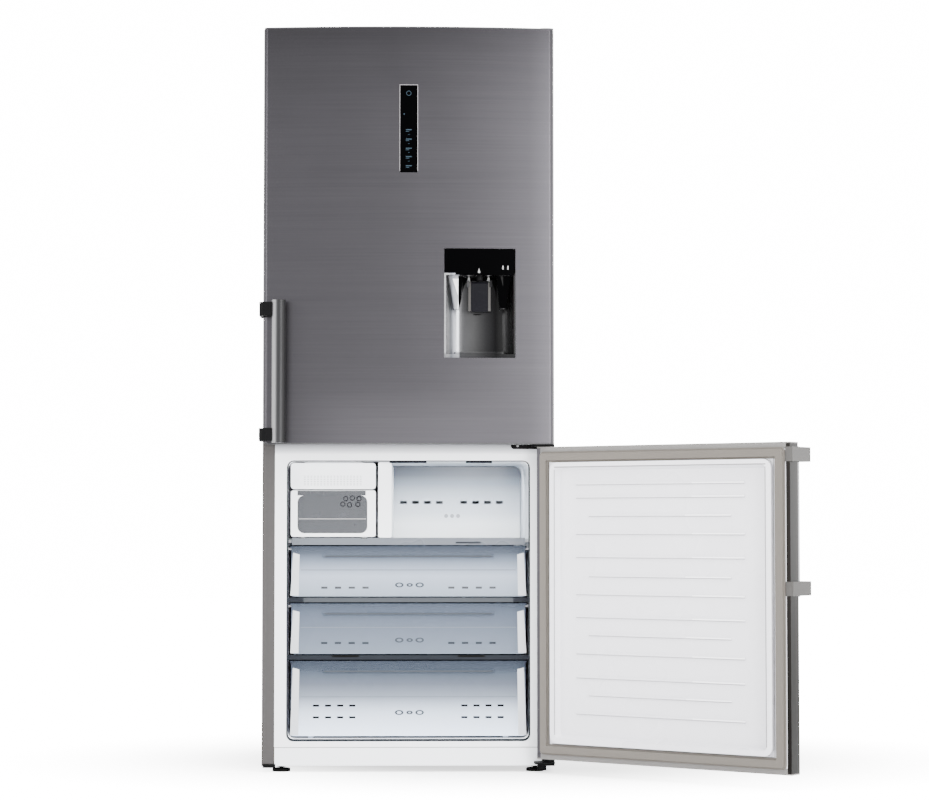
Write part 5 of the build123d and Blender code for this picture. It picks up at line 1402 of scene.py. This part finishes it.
@dataclass
class FreezerMouth:
    """Painted shade line round the freezer's mouth, shelf edges in it with painted shade of the gaps, lamps
    on its back and the seam under it.

    Args:
        maker: builds the pieces.
        book: the finishes.
        face_y: y of the plates on the face.
        flat: thickness of the seam.
        thick: thickness of the other plates.
        strip_thickness: thickness of a shelf's front edge.
        lamp_thickness: thickness of the lamps.
        outer_line: outside of the painted shade line round the mouth.
        inner_line: its inside.
        top_dashes: x and z limits of the wider painted shade dashes under the mouth's ceiling.
        seam_limits: x and z limits of the seam over the base cover.
        notch_y: y of the painted shade of a notch in the shelf's edge.
        notch_limits: its x and z limits.
        strip_y: y of the shelves' front edges.
        clip_y: y of their painted shade ends and of their clips.
        upper_strip: x and z limits of the upper edge.
        middle_strip: x and z limits of the lower edge.
        end_place: distance of a painted shade end from the middle.
        end_half: half its width.
        clip_place: distance of a clip from the middle.
        clip_half: half its width.
        clip_heights: z limits of a clip.
        lamp_y: y of the lamps on the back cover.
        lamp_places: x of each lamp.
        lamp_height: z of the lamps.
        lamp_radius: radius of a lamp.
        lamp_sides: corners of a lamp.
    """

    maker: MeshMaker
    book: FinishBook
    face_y: float = -0.3202
    flat: float = 0.2 * MM
    thick: float = 0.3 * MM
    strip_thickness: float = 3 * MM
    lamp_thickness: float = 0.4 * MM
    outer_line: RoundedBox = RoundedBox(half_width=0.2915, low=0.073, high=0.7435, radius=0.017)
    inner_line: RoundedBox = RoundedBox(half_width=0.2875, low=0.0787, high=0.741, radius=0.013)
    top_dashes: tuple[Limits, ...] = ((-0.0461, 0.0432, 0.7372, 0.7425), (0.1375, 0.2003, 0.7372, 0.7425))
    seam_limits: Limits = (-0.3185, 0.3185, 0.0578, 0.0592)
    notch_y: float = -0.3001
    notch_limits: Limits = (0.1133, 0.1737, 0.5445, 0.5485)
    strip_y: float = -0.293
    clip_y: float = -0.296
    upper_strip: Limits = (-0.2885, 0.2885, 0.4035, 0.4145)
    middle_strip: Limits = (-0.2885, 0.2885, 0.266, 0.277)
    end_place: float = 0.27
    end_half: float = 0.018
    clip_place: float = 0.151
    clip_half: float = 0.032
    clip_heights: Pair = (0.272, 0.2765)
    lamp_y: float = 0.1899
    lamp_places: tuple[float, ...] = (0.096, 0.1115, 0.127)
    lamp_height: float = 0.612
    lamp_radius: float = 0.0052
    lamp_sides: int = 16

    def build(self) -> None:
        """Add all the pieces, which ride on the cabinet."""
        book = self.book
        lamps = [disc(x, self.lamp_height, self.lamp_radius, self.lamp_sides) for x in self.lamp_places]
        ends = self._pair(self.end_place, self.end_half, self.upper_strip[2:])
        clips = self._pair(self.clip_place, self.clip_half, self.clip_heights)
        self._plate("cover_lamps", book.lamp_grey, lamps, self.lamp_y, self.lamp_thickness)
        # Painted shade in the crease round the mouth.
        self._plate("freezer_mouth_shade_line", book.gap_shade_dark, self._mouth_line(), self.face_y, self.thick)
        self._plate("kick_seam", book.ridge_shade, [box(self.seam_limits)], self.face_y, self.flat)
        # Painted shade in a notch of the shelf's edge, and on the shelf edges and their ends in the gaps
        # between the drawers.
        self._plate("freezer_shelf_notch", book.gap_shade_dark, [box(self.notch_limits)], self.notch_y, self.thick)
        self._plate("upper_shelf_strip", book.gap_shade_grey, [box(self.upper_strip)], self.strip_y,
                    self.strip_thickness)
        self._plate("middle_shelf_strip", book.gap_shade_dark, [box(self.middle_strip)], self.strip_y,
                    self.strip_thickness)
        self._plate("upper_shelf_ends", book.gap_shade_dark, ends, self.clip_y, self.thick)
        self._plate("middle_shelf_clips", book.black_plastic, clips, self.clip_y, self.thick)

    def _plate(self, name: str, finish: Finish, shapes: list[Shape], y: float, thickness: float) -> None:
        """Add flat plates on the cabinet as one piece.

        Args:
            name: the piece's name.
            finish: its finish.
            shapes: the corners of each plate in x and z.
            y: depth of the plates' backs.
            thickness: how far the plates stand out.
        """
        self.maker.piece(name, "cabinet", finish, upright(shapes, y, thickness))

    @staticmethod
    def _pair(place: float, half: float, heights: Pair) -> list[Shape]:
        """List one plate on each side of the middle.

        Args:
            place: distance of its middle from the mouth's middle.
            half: half its width.
            heights: its z limits.

        Returns:
            The corners of both plates in x and z.
        """
        return [box((side * place - half, side * place + half, *heights)) for side in (-1, 1)]

    def _mouth_line(self) -> list[Shape]:
        """List the cells of the painted shade line with its rounded corners and wider dashes.

        Returns:
            The corners of each cell in x and z.
        """
        outer, inner = self.outer_line.corners(), self.inner_line.corners()
        cells = []
        for index in range(len(outer)):
            after = (index + 1) % len(outer)
            cells.append([inner[index], outer[index], outer[after], inner[after]])
        return cells + [box(limits) for limits in self.top_dashes]


@dataclass
class NicheDetail:
    """Strips beside the dispenser's lever, painted highlights over them, painted shade round its nozzle and
    a dark lip along the niche's top.

    Args:
        maker: builds the pieces.
        book: the finishes.
        front: curve of the door's front.
        lever_y: y of the strips beside the lever.
        lever_thickness: how far they stand out.
        lever_strips: x and z limits of each strip.
        back_y: y of the plates over the lever.
        guide_y: y of the painted shade and highlight on the hanging guides.
        hood_shadow: corners of the painted shadow under the hood, behind the nozzle.
        hood_shadow_thickness: how far it stands out.
        guide_shades: corners of each patch of painted shade on the hanging guides.
        face_thickness: how far those faces stand out.
        lip_start: x where the dark lip along the niche's top starts.
        lip_step: length of each of its plates.
        lip_count: how many plates follow the bow.
        lip_heights: z limits of the lip.
        lip_thickness: how far it stands out.
        light_places: x of each painted highlight at the top of a lever strip.
        light_guide: corners of a painted highlight about its place.
        light_thickness: how far it stands out.
        highlight: corners of the tapered highlight.
        notch_limits: x and z limits of the dark notch under the lever.
        notch_thickness: how far it stands out.
    """

    maker: MeshMaker
    book: FinishBook
    front: BowedFront = BowedFront()
    lever_y: float = -0.3545
    lever_thickness: float = 1.6 * MM
    lever_strips: tuple[Limits, ...] = ((0.1429, 0.1487, 1.1, 1.169), (0.1903, 0.1961, 1.1, 1.169))
    back_y: float = -0.33
    guide_y: float = -0.372
    hood_shadow: tuple[Pair, ...] = ((0.1295, 1.1835), (0.1285, 1.146), (0.132, 1.16), (0.137, 1.17),
                               (0.145, 1.174), (0.194, 1.174), (0.202, 1.168), (0.208, 1.15),
                               (0.2115, 1.13), (0.2135, 1.1835))
    hood_shadow_thickness: float = 0.6 * MM
    guide_shades: tuple[tuple[Pair, ...], ...] = (
        ((0.1188, 1.1225), (0.1215, 1.107), (0.1255, 1.128), (0.1294, 1.183), (0.1188, 1.183)),
        ((0.2176, 1.106), (0.2314, 1.106), (0.2448, 1.183), (0.2256, 1.183), (0.2256, 1.157),
         (0.2192, 1.183), (0.2096, 1.183)),
    )
    face_thickness: float = 0.2 * MM
    lip_start: float = 0.111
    lip_step: float = 0.01767
    lip_count: int = 8
    lip_heights: Pair = (1.1835, 1.1885)
    lip_thickness: float = 0.15 * MM
    light_places: tuple[float, ...] = (0.1442, 0.1914)
    light_guide: tuple[Pair, ...] = ((-0.003, 1.1745), (0.004, 1.1745), (0.0026, 1.1835),
                                     (-0.0014, 1.1835))
    light_thickness: float = 2.5 * MM
    highlight: tuple[Pair, ...] = ((0.1051, 1.1766), (0.1176, 1.1368), (0.1186, 1.1766))
    notch_limits: Limits = (0.1555, 0.1735, 1.0925, 1.0955)
    notch_thickness: float = 0.5 * MM

    def build(self) -> None:
        """Add the strips, the painted shade with the dark lip, the painted highlights and the notch."""
        strips = upright([box(limits) for limits in self.lever_strips], self.lever_y, self.lever_thickness)
        self.maker.piece("lever_strips", "dispenser_lever", self.book.reflection_grey, strips)
        # Painted shadow under the hood round the nozzle and painted shade on the guides, with a dark lip
        # along the niche's top.
        dark = upright([self.hood_shadow], self.back_y, self.hood_shadow_thickness)
        dark += upright(self.guide_shades, self.guide_y, self.face_thickness)
        dark += self.front.laid_on(self._lip(), self.lip_thickness)
        self.maker.piece("dispenser_shade_and_lip", "upper_door", self.book.black_gloss, dark)
        # Painted highlights at the tops of the lever's strips and on the left guide.
        guides = [[(place + x, z) for x, z in self.light_guide] for place in self.light_places]
        light = upright(guides, self.back_y, self.light_thickness)
        light += upright([self.highlight], self.guide_y, self.face_thickness)
        self.maker.piece("dispenser_painted_highlights", "upper_door", self.book.highlight_white, light)
        notch = upright([box(self.notch_limits)], self.back_y, self.notch_thickness)
        self.maker.piece("dispenser_notch", "upper_door", self.book.black_plastic, notch)

    def _lip(self) -> list[Shape]:
        """List the plates of the dark lip along the niche's top edge.

        Returns:
            The corners of each plate in x and z.
        """
        starts = [self.lip_start + self.lip_step * index for index in range(self.lip_count + 1)]
        return [box((left, right, *self.lip_heights)) for left, right in zip(starts, starts[1:])]


@dataclass
class DoorLiner:
    """Shade and light lines along the ribs and the ridge of the open freezer door's inner side.

    Args:
        maker: builds the pieces.
        book: the finishes.
        swing: how far the door stands open, and about which hinge.
        thickness: how far the lines stand out.
        field_heights: z limits of the field with the ribs.
        rib_groups: heights of the ribs in each group, as shares of the field.
        long_half: half length of a rib.
        short_half: half length of the second rib of a group.
        rib_middle: x of the ribs' middles.
        rib_y: y of the lines along the ribs.
        shade_band: heights of a rib's shade about the rib.
        light_band: heights of a rib's light about the rib.
        light_middle: x where the light of a rib without length would end.
        light_share: share of the half length by which the light falls short of that.
        inner_y: y of the shades along the ridge's inner edge.
        outer_y: y of the shades outside the ridge.
        inner_shades: x and z limits of the shades along the ridge's inner edge.
        outer_shades: x and z limits of the shades outside the ridge.
    """

    maker: MeshMaker
    book: FinishBook
    swing: Swing = Swing(hinge=(0.33, -0.35), degrees=141.9)
    thickness: float = 0.3 * MM
    field_heights: Pair = (0.074, 0.737)
    rib_groups: tuple[tuple[float, ...], ...] = ((0.923,), (0.876, 0.811, 0.747), (0.665, 0.597, 0.533),
                                                 (0.452, 0.389, 0.323), (0.238, 0.1765, 0.11))
    long_half: float = 0.2305
    short_half: float = 0.1945
    rib_middle: float = 0.0055
    rib_y: float = -0.3373
    shade_band: Pair = (-0.0034, -0.0018)
    light_band: Pair = (-0.0012, 0.0012)
    light_middle: float = 0.03
    light_share: float = 0.5
    inner_y: float = -0.3218
    outer_y: float = -0.3318
    inner_shades: tuple[Limits, ...] = ((-0.289, 0.289, 0.7245, 0.7272), (-0.289, -0.2868, 0.094, 0.72),
                                        (0.2872, 0.289, 0.094, 0.72))
    outer_shades: tuple[Limits, ...] = ((-0.302, 0.302, 0.7375, 0.7405), (-0.305, -0.3025, 0.07, 0.7405),
                                        (-0.302, 0.302, 0.0705, 0.0728))

    def build(self) -> None:
        """Add the lines as the closed door has them and swing them to the open place."""
        ribs = self._ribs()
        middle = self.rib_middle
        shades = [(middle - half, middle + half, z + self.shade_band[0], z + self.shade_band[1])
                  for z, half in ribs]
        lights = [(middle - half, self.light_middle - self.light_share * half, z + self.light_band[0],
                   z + self.light_band[1]) for z, half in ribs]
        ridge = self._plates(self.inner_shades, self.inner_y) + self._plates(self.outer_shades, self.outer_y)
        self._lines("door_rib_shades", self.book.rib_shade, self._plates(shades, self.rib_y))
        self._lines("door_ridge_shades", self.book.ridge_shade, ridge)
        self._lines("door_rib_lights", self.book.rib_light, self._plates(lights, self.rib_y))

    def _ribs(self) -> list[Pair]:
        """List the ribs, of which the second one of a group is short.

        Returns:
            The height and the half length of each rib.
        """
        low, high = self.field_heights
        return [(low + share * (high - low), self.short_half if index == 1 else self.long_half)
                for group in self.rib_groups for index, share in enumerate(group)]

    def _plates(self, limits: Iterable[Limits], y: float) -> list[Plate]:
        """Make a flat line out of each pair of x and z limits.

        Args:
            limits: x and z limits of each line.
            y: depth of the lines' backs.

        Returns:
            The plates.
        """
        return upright([box(each) for each in limits], y, self.thickness)

    def _lines(self, name: str, finish: Finish, plates: list[Plate]) -> None:
        """Add lines on the closed door as one piece and swing them with it.

        Args:
            name: the piece's name.
            finish: its finish.
            plates: the lines.
        """
        self.maker.piece(name, "freezer_door", finish, plates, self.swing)


@dataclass(frozen=True)
class CameraPlace:
    """Where the camera stands and where it looks.

    Args:
        place: its position in metres.
        yaw: turn to the right in degrees.
        pitch: tilt upwards in degrees.
        lens: focal length in millimetres.
        sensor: width of the sensor in millimetres.
        reach: farthest distance that it shows, in metres.
    """

    place: Point = (0.0192, -6.5405, 0.5923)
    yaw: float = 1.06
    pitch: float = 2.73
    lens: float = 100.41
    sensor: float = 36.0
    reach: float = 60.0


@dataclass(frozen=True)
class Softbox:
    """One area light.

    Args:
        name: its name.
        place: its position in metres.
        target: the point it faces.
        size: width and height in metres.
        power: its power in watts.
    """

    name: str
    place: Point
    target: Point
    size: Pair
    power: float


@dataclass(frozen=True)
class Glow:
    """Change of a light's strength along a distance.

    Args:
        start: distance where the first strength ends.
        stop: distance where the last strength begins.
        first: the first strength.
        last: the last strength.
        smooth: whether the change eases in and out.
    """

    start: float
    stop: float
    first: float
    last: float
    smooth: bool = False

    def node(self, tree: bpy.types.NodeTree) -> bpy.types.Node:
        """Add the change to a node tree.

        Args:
            tree: the node tree.

        Returns:
            The node, with its distance as input.
        """
        node = tree.nodes.new("ShaderNodeMapRange")
        if self.smooth:
            node.interpolation_type = "SMOOTHSTEP"
        node.inputs["From Min"].default_value = self.start
        node.inputs["From Max"].default_value = self.stop
        node.inputs["To Min"].default_value = self.first
        node.inputs["To Max"].default_value = self.last
        return node


@dataclass
class Studio:
    """Camera, floor and lights.

    Args:
        shop: where materials come from.
        camera: where the camera stands.
        softboxes: the area lights.
        floor_half: half the floor's width in metres.
        floor_finish: the floor's finish.
        floor_glow: how the floor's own light grows with the distance from the object, leaving a painted
            shadow round it.
        floor_shift: where the floor's glow has its middle, as a shift of its coordinates.
        floor_stretch: factors on the floor's coordinates, which make the painted shadow oval.
        sky_rise: how the surrounding light changes with height.
        sky_side: how it changes to the right.
        backdrop: strength of the surroundings as the camera sees them.
    """

    shop: MaterialShop
    camera: CameraPlace = CameraPlace()
    softboxes: tuple[Softbox, ...] = (
        Softbox("right_softbox", place=(3.2, -4.8, 1.5), target=(0.0, 0.0, 0.9), size=(1.8, 3.0),
                power=330.0),
        Softbox("left_softbox", place=(-3.8, -2.6, 1.5), target=(0.0, 0.0, 0.9), size=(1.2, 3.0),
                power=120.0),
        Softbox("top_softbox", place=(0.3, -2.0, 4.2), target=(0.0, -0.3, 0.6), size=(3.4, 2.6),
                power=240.0),
        Softbox("freezer_glow", place=(0.12, 0.02, 0.732), target=(0.12, 0.14, 0.4), size=(0.28, 0.2),
                power=3.2),
        Softbox("ice_glow", place=(0.0, -0.9, 0.55), target=(0.0, 0.0, 0.5), size=(0.6, 0.7), power=3.0),
    )
    floor_half: float = 14.0
    floor_finish: Finish = Finish("pale_floor", Surface.MOULDED, (0.93, 0.93, 0.93), (0.95, 0.95, 0.95), 0.8,
                                  grain=3.0, bump=0.0, specular=0.0)
    floor_glow: Glow = Glow(start=0.25, stop=1.1, first=1.5, last=14.0, smooth=True)
    floor_shift: Point = (-0.2, 0.0, 0.0)
    floor_stretch: Point = (0.75, 1.0, 1.0)
    sky_rise: Glow = Glow(start=0.0, stop=0.22, first=3.6, last=2.0)
    sky_side: Glow = Glow(start=0.08, stop=0.34, first=1.0, last=1.9, smooth=True)
    backdrop: float = 16.0

    def build(self) -> None:
        """Build everything that isn't part of the object."""
        self._camera()
        self._floor()
        self._world()
        for softbox in self.softboxes:
            self._light(softbox)

    def _camera(self) -> None:
        """Set the camera at the angle of the photograph."""
        data = bpy.data.cameras.new("photo_camera")
        data.lens = self.camera.lens
        data.sensor_width = self.camera.sensor
        data.clip_end = self.camera.reach
        obj = bpy.data.objects.new("photo_camera", data)
        obj.location = self.camera.place
        obj.rotation_euler = (math.radians(90 + self.camera.pitch), 0.0, math.radians(-self.camera.yaw))
        bpy.context.scene.collection.objects.link(obj)
        bpy.context.scene.camera = obj
        LOG.info("the camera stands at %s", self.camera.place)

    def _floor(self) -> None:
        """Lay a wide pale floor."""
        mesh = bmesh.new()
        half = self.floor_half
        corners = [(-half, -half, 0.0), (half, -half, 0.0), (half, half, 0.0), (-half, half, 0.0)]
        mesh.faces.new([mesh.verts.new(corner) for corner in corners])
        obj = as_object("studio_floor", mesh)
        material = self.shop.get(self.floor_finish)
        self._lift(material)
        obj.data.materials.append(material)
        obj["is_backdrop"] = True
        LOG.info("the floor lies on the stage")

    def _lift(self, material: bpy.types.Material) -> None:
        """Let the floor glow away from the object, which paints a soft shadow round its foot.

        Args:
            material: the floor's material.
        """
        tree = material.node_tree
        nodes, links = tree.nodes, tree.links
        shader = nodes["Principled BSDF"]
        place = nodes.new("ShaderNodeTexCoord")
        away = nodes.new("ShaderNodeVectorMath")
        away.operation = "LENGTH"
        stretch = nodes.new("ShaderNodeMapping")
        stretch.inputs["Location"].default_value = self.floor_shift
        stretch.inputs["Scale"].default_value = self.floor_stretch
        # Weaker glow near the object paints the shadow round its foot.
        reach = self.floor_glow.node(tree)
        shader.inputs["Emission Color"].default_value = (1.0, 1.0, 1.0, 1.0)
        links.new(place.outputs["Object"], stretch.inputs["Vector"])
        links.new(stretch.outputs["Vector"], away.inputs[0])
        links.new(away.outputs["Value"], reach.inputs["Value"])
        path = nodes.new("ShaderNodeLightPath")
        seen = self._product(tree, reach.outputs["Result"], path.outputs["Is Camera Ray"])
        links.new(seen, shader.inputs["Emission Strength"])

    @staticmethod
    def _product(tree: bpy.types.NodeTree, first: bpy.types.NodeSocket,
                 second: bpy.types.NodeSocket) -> bpy.types.NodeSocket:
        """Multiply two values of a node tree.

        Args:
            tree: the node tree.
            first: socket with the first value.
            second: socket with the second value.

        Returns:
            The socket with their product.
        """
        node = tree.nodes.new("ShaderNodeMath")
        node.operation = "MULTIPLY"
        tree.links.new(first, node.inputs[0])
        tree.links.new(second, node.inputs[1])
        return node.outputs["Value"]

    def _world(self) -> None:
        """Surround the scene with white light, stronger low down and to the right."""
        world = bpy.data.worlds.new("studio_world")
        world.use_nodes = True
        tree = world.node_tree
        nodes, links = tree.nodes, tree.links
        shade = nodes["Background"]
        shade.inputs["Color"].default_value = (1.0, 1.0, 1.0, 1.0)
        place = nodes.new("ShaderNodeTexCoord")
        parts = nodes.new("ShaderNodeSeparateXYZ")
        links.new(place.outputs["Generated"], parts.inputs["Vector"])
        rise = self.sky_rise.node(tree)
        side = self.sky_side.node(tree)
        links.new(parts.outputs["Z"], rise.inputs["Value"])
        links.new(parts.outputs["X"], side.inputs["Value"])
        both = self._product(tree, rise.outputs["Result"], side.outputs["Result"])
        path = nodes.new("ShaderNodeLightPath")
        level = nodes.new("ShaderNodeMapRange")
        level.inputs["To Max"].default_value = self.backdrop
        links.new(path.outputs["Is Camera Ray"], level.inputs["Value"])
        links.new(both, level.inputs["To Min"])
        links.new(level.outputs["Result"], shade.inputs["Strength"])
        bpy.context.scene.world = world
        LOG.info("the world is lit")

    @staticmethod
    def _light(softbox: Softbox) -> None:
        """Hang one softbox.

        Args:
            softbox: the light.
        """
        data = bpy.data.lights.new(softbox.name, "AREA")
        data.shape = "RECTANGLE"
        data.size, data.size_y = softbox.size
        data.energy = softbox.power
        obj = bpy.data.objects.new(softbox.name, data)
        obj.location = softbox.place
        aim = obj.location.copy()
        aim.x, aim.y, aim.z = softbox.target
        obj.rotation_mode = "QUATERNION"
        obj.rotation_quaternion = (aim - obj.location).to_track_quat("-Z", "Y")
        obj.visible_camera = False
        bpy.context.scene.collection.objects.link(obj)
        LOG.info("%s hangs at %s", softbox.name, softbox.place)


class FridgeFreezer:
    """The frame of the whole object and what its details are made with."""

    def __init__(self) -> None:
        """Load the frame and prepare the shop."""
        self.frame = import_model()
        self.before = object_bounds()
        self.shop = MaterialShop(EffectLibrary())
        self.book = FinishBook()
        self.maker = MeshMaker(self.shop)

    def save_sizes(self) -> None:
        """Update the view layer after the looks were added."""
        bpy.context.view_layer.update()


def main() -> None:
    """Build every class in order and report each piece."""
    logging.basicConfig(level=logging.INFO)
    fridge = FridgeFreezer()
    FrameDresser(fridge.shop, fridge.book).dress(fridge.frame["nodes"])
    for assembly in (DisplayMarks, DispenserMarks, DrawerMarks, IceMakerMarks, FreezerMouth, NicheDetail,
                     DoorLiner):
        LOG.info("building %s", assembly.__name__)
        assembly(fridge.maker, fridge.book).build()
    Studio(fridge.shop).build()
    fridge.save_sizes()


if __name__ == "__main__":
    main()
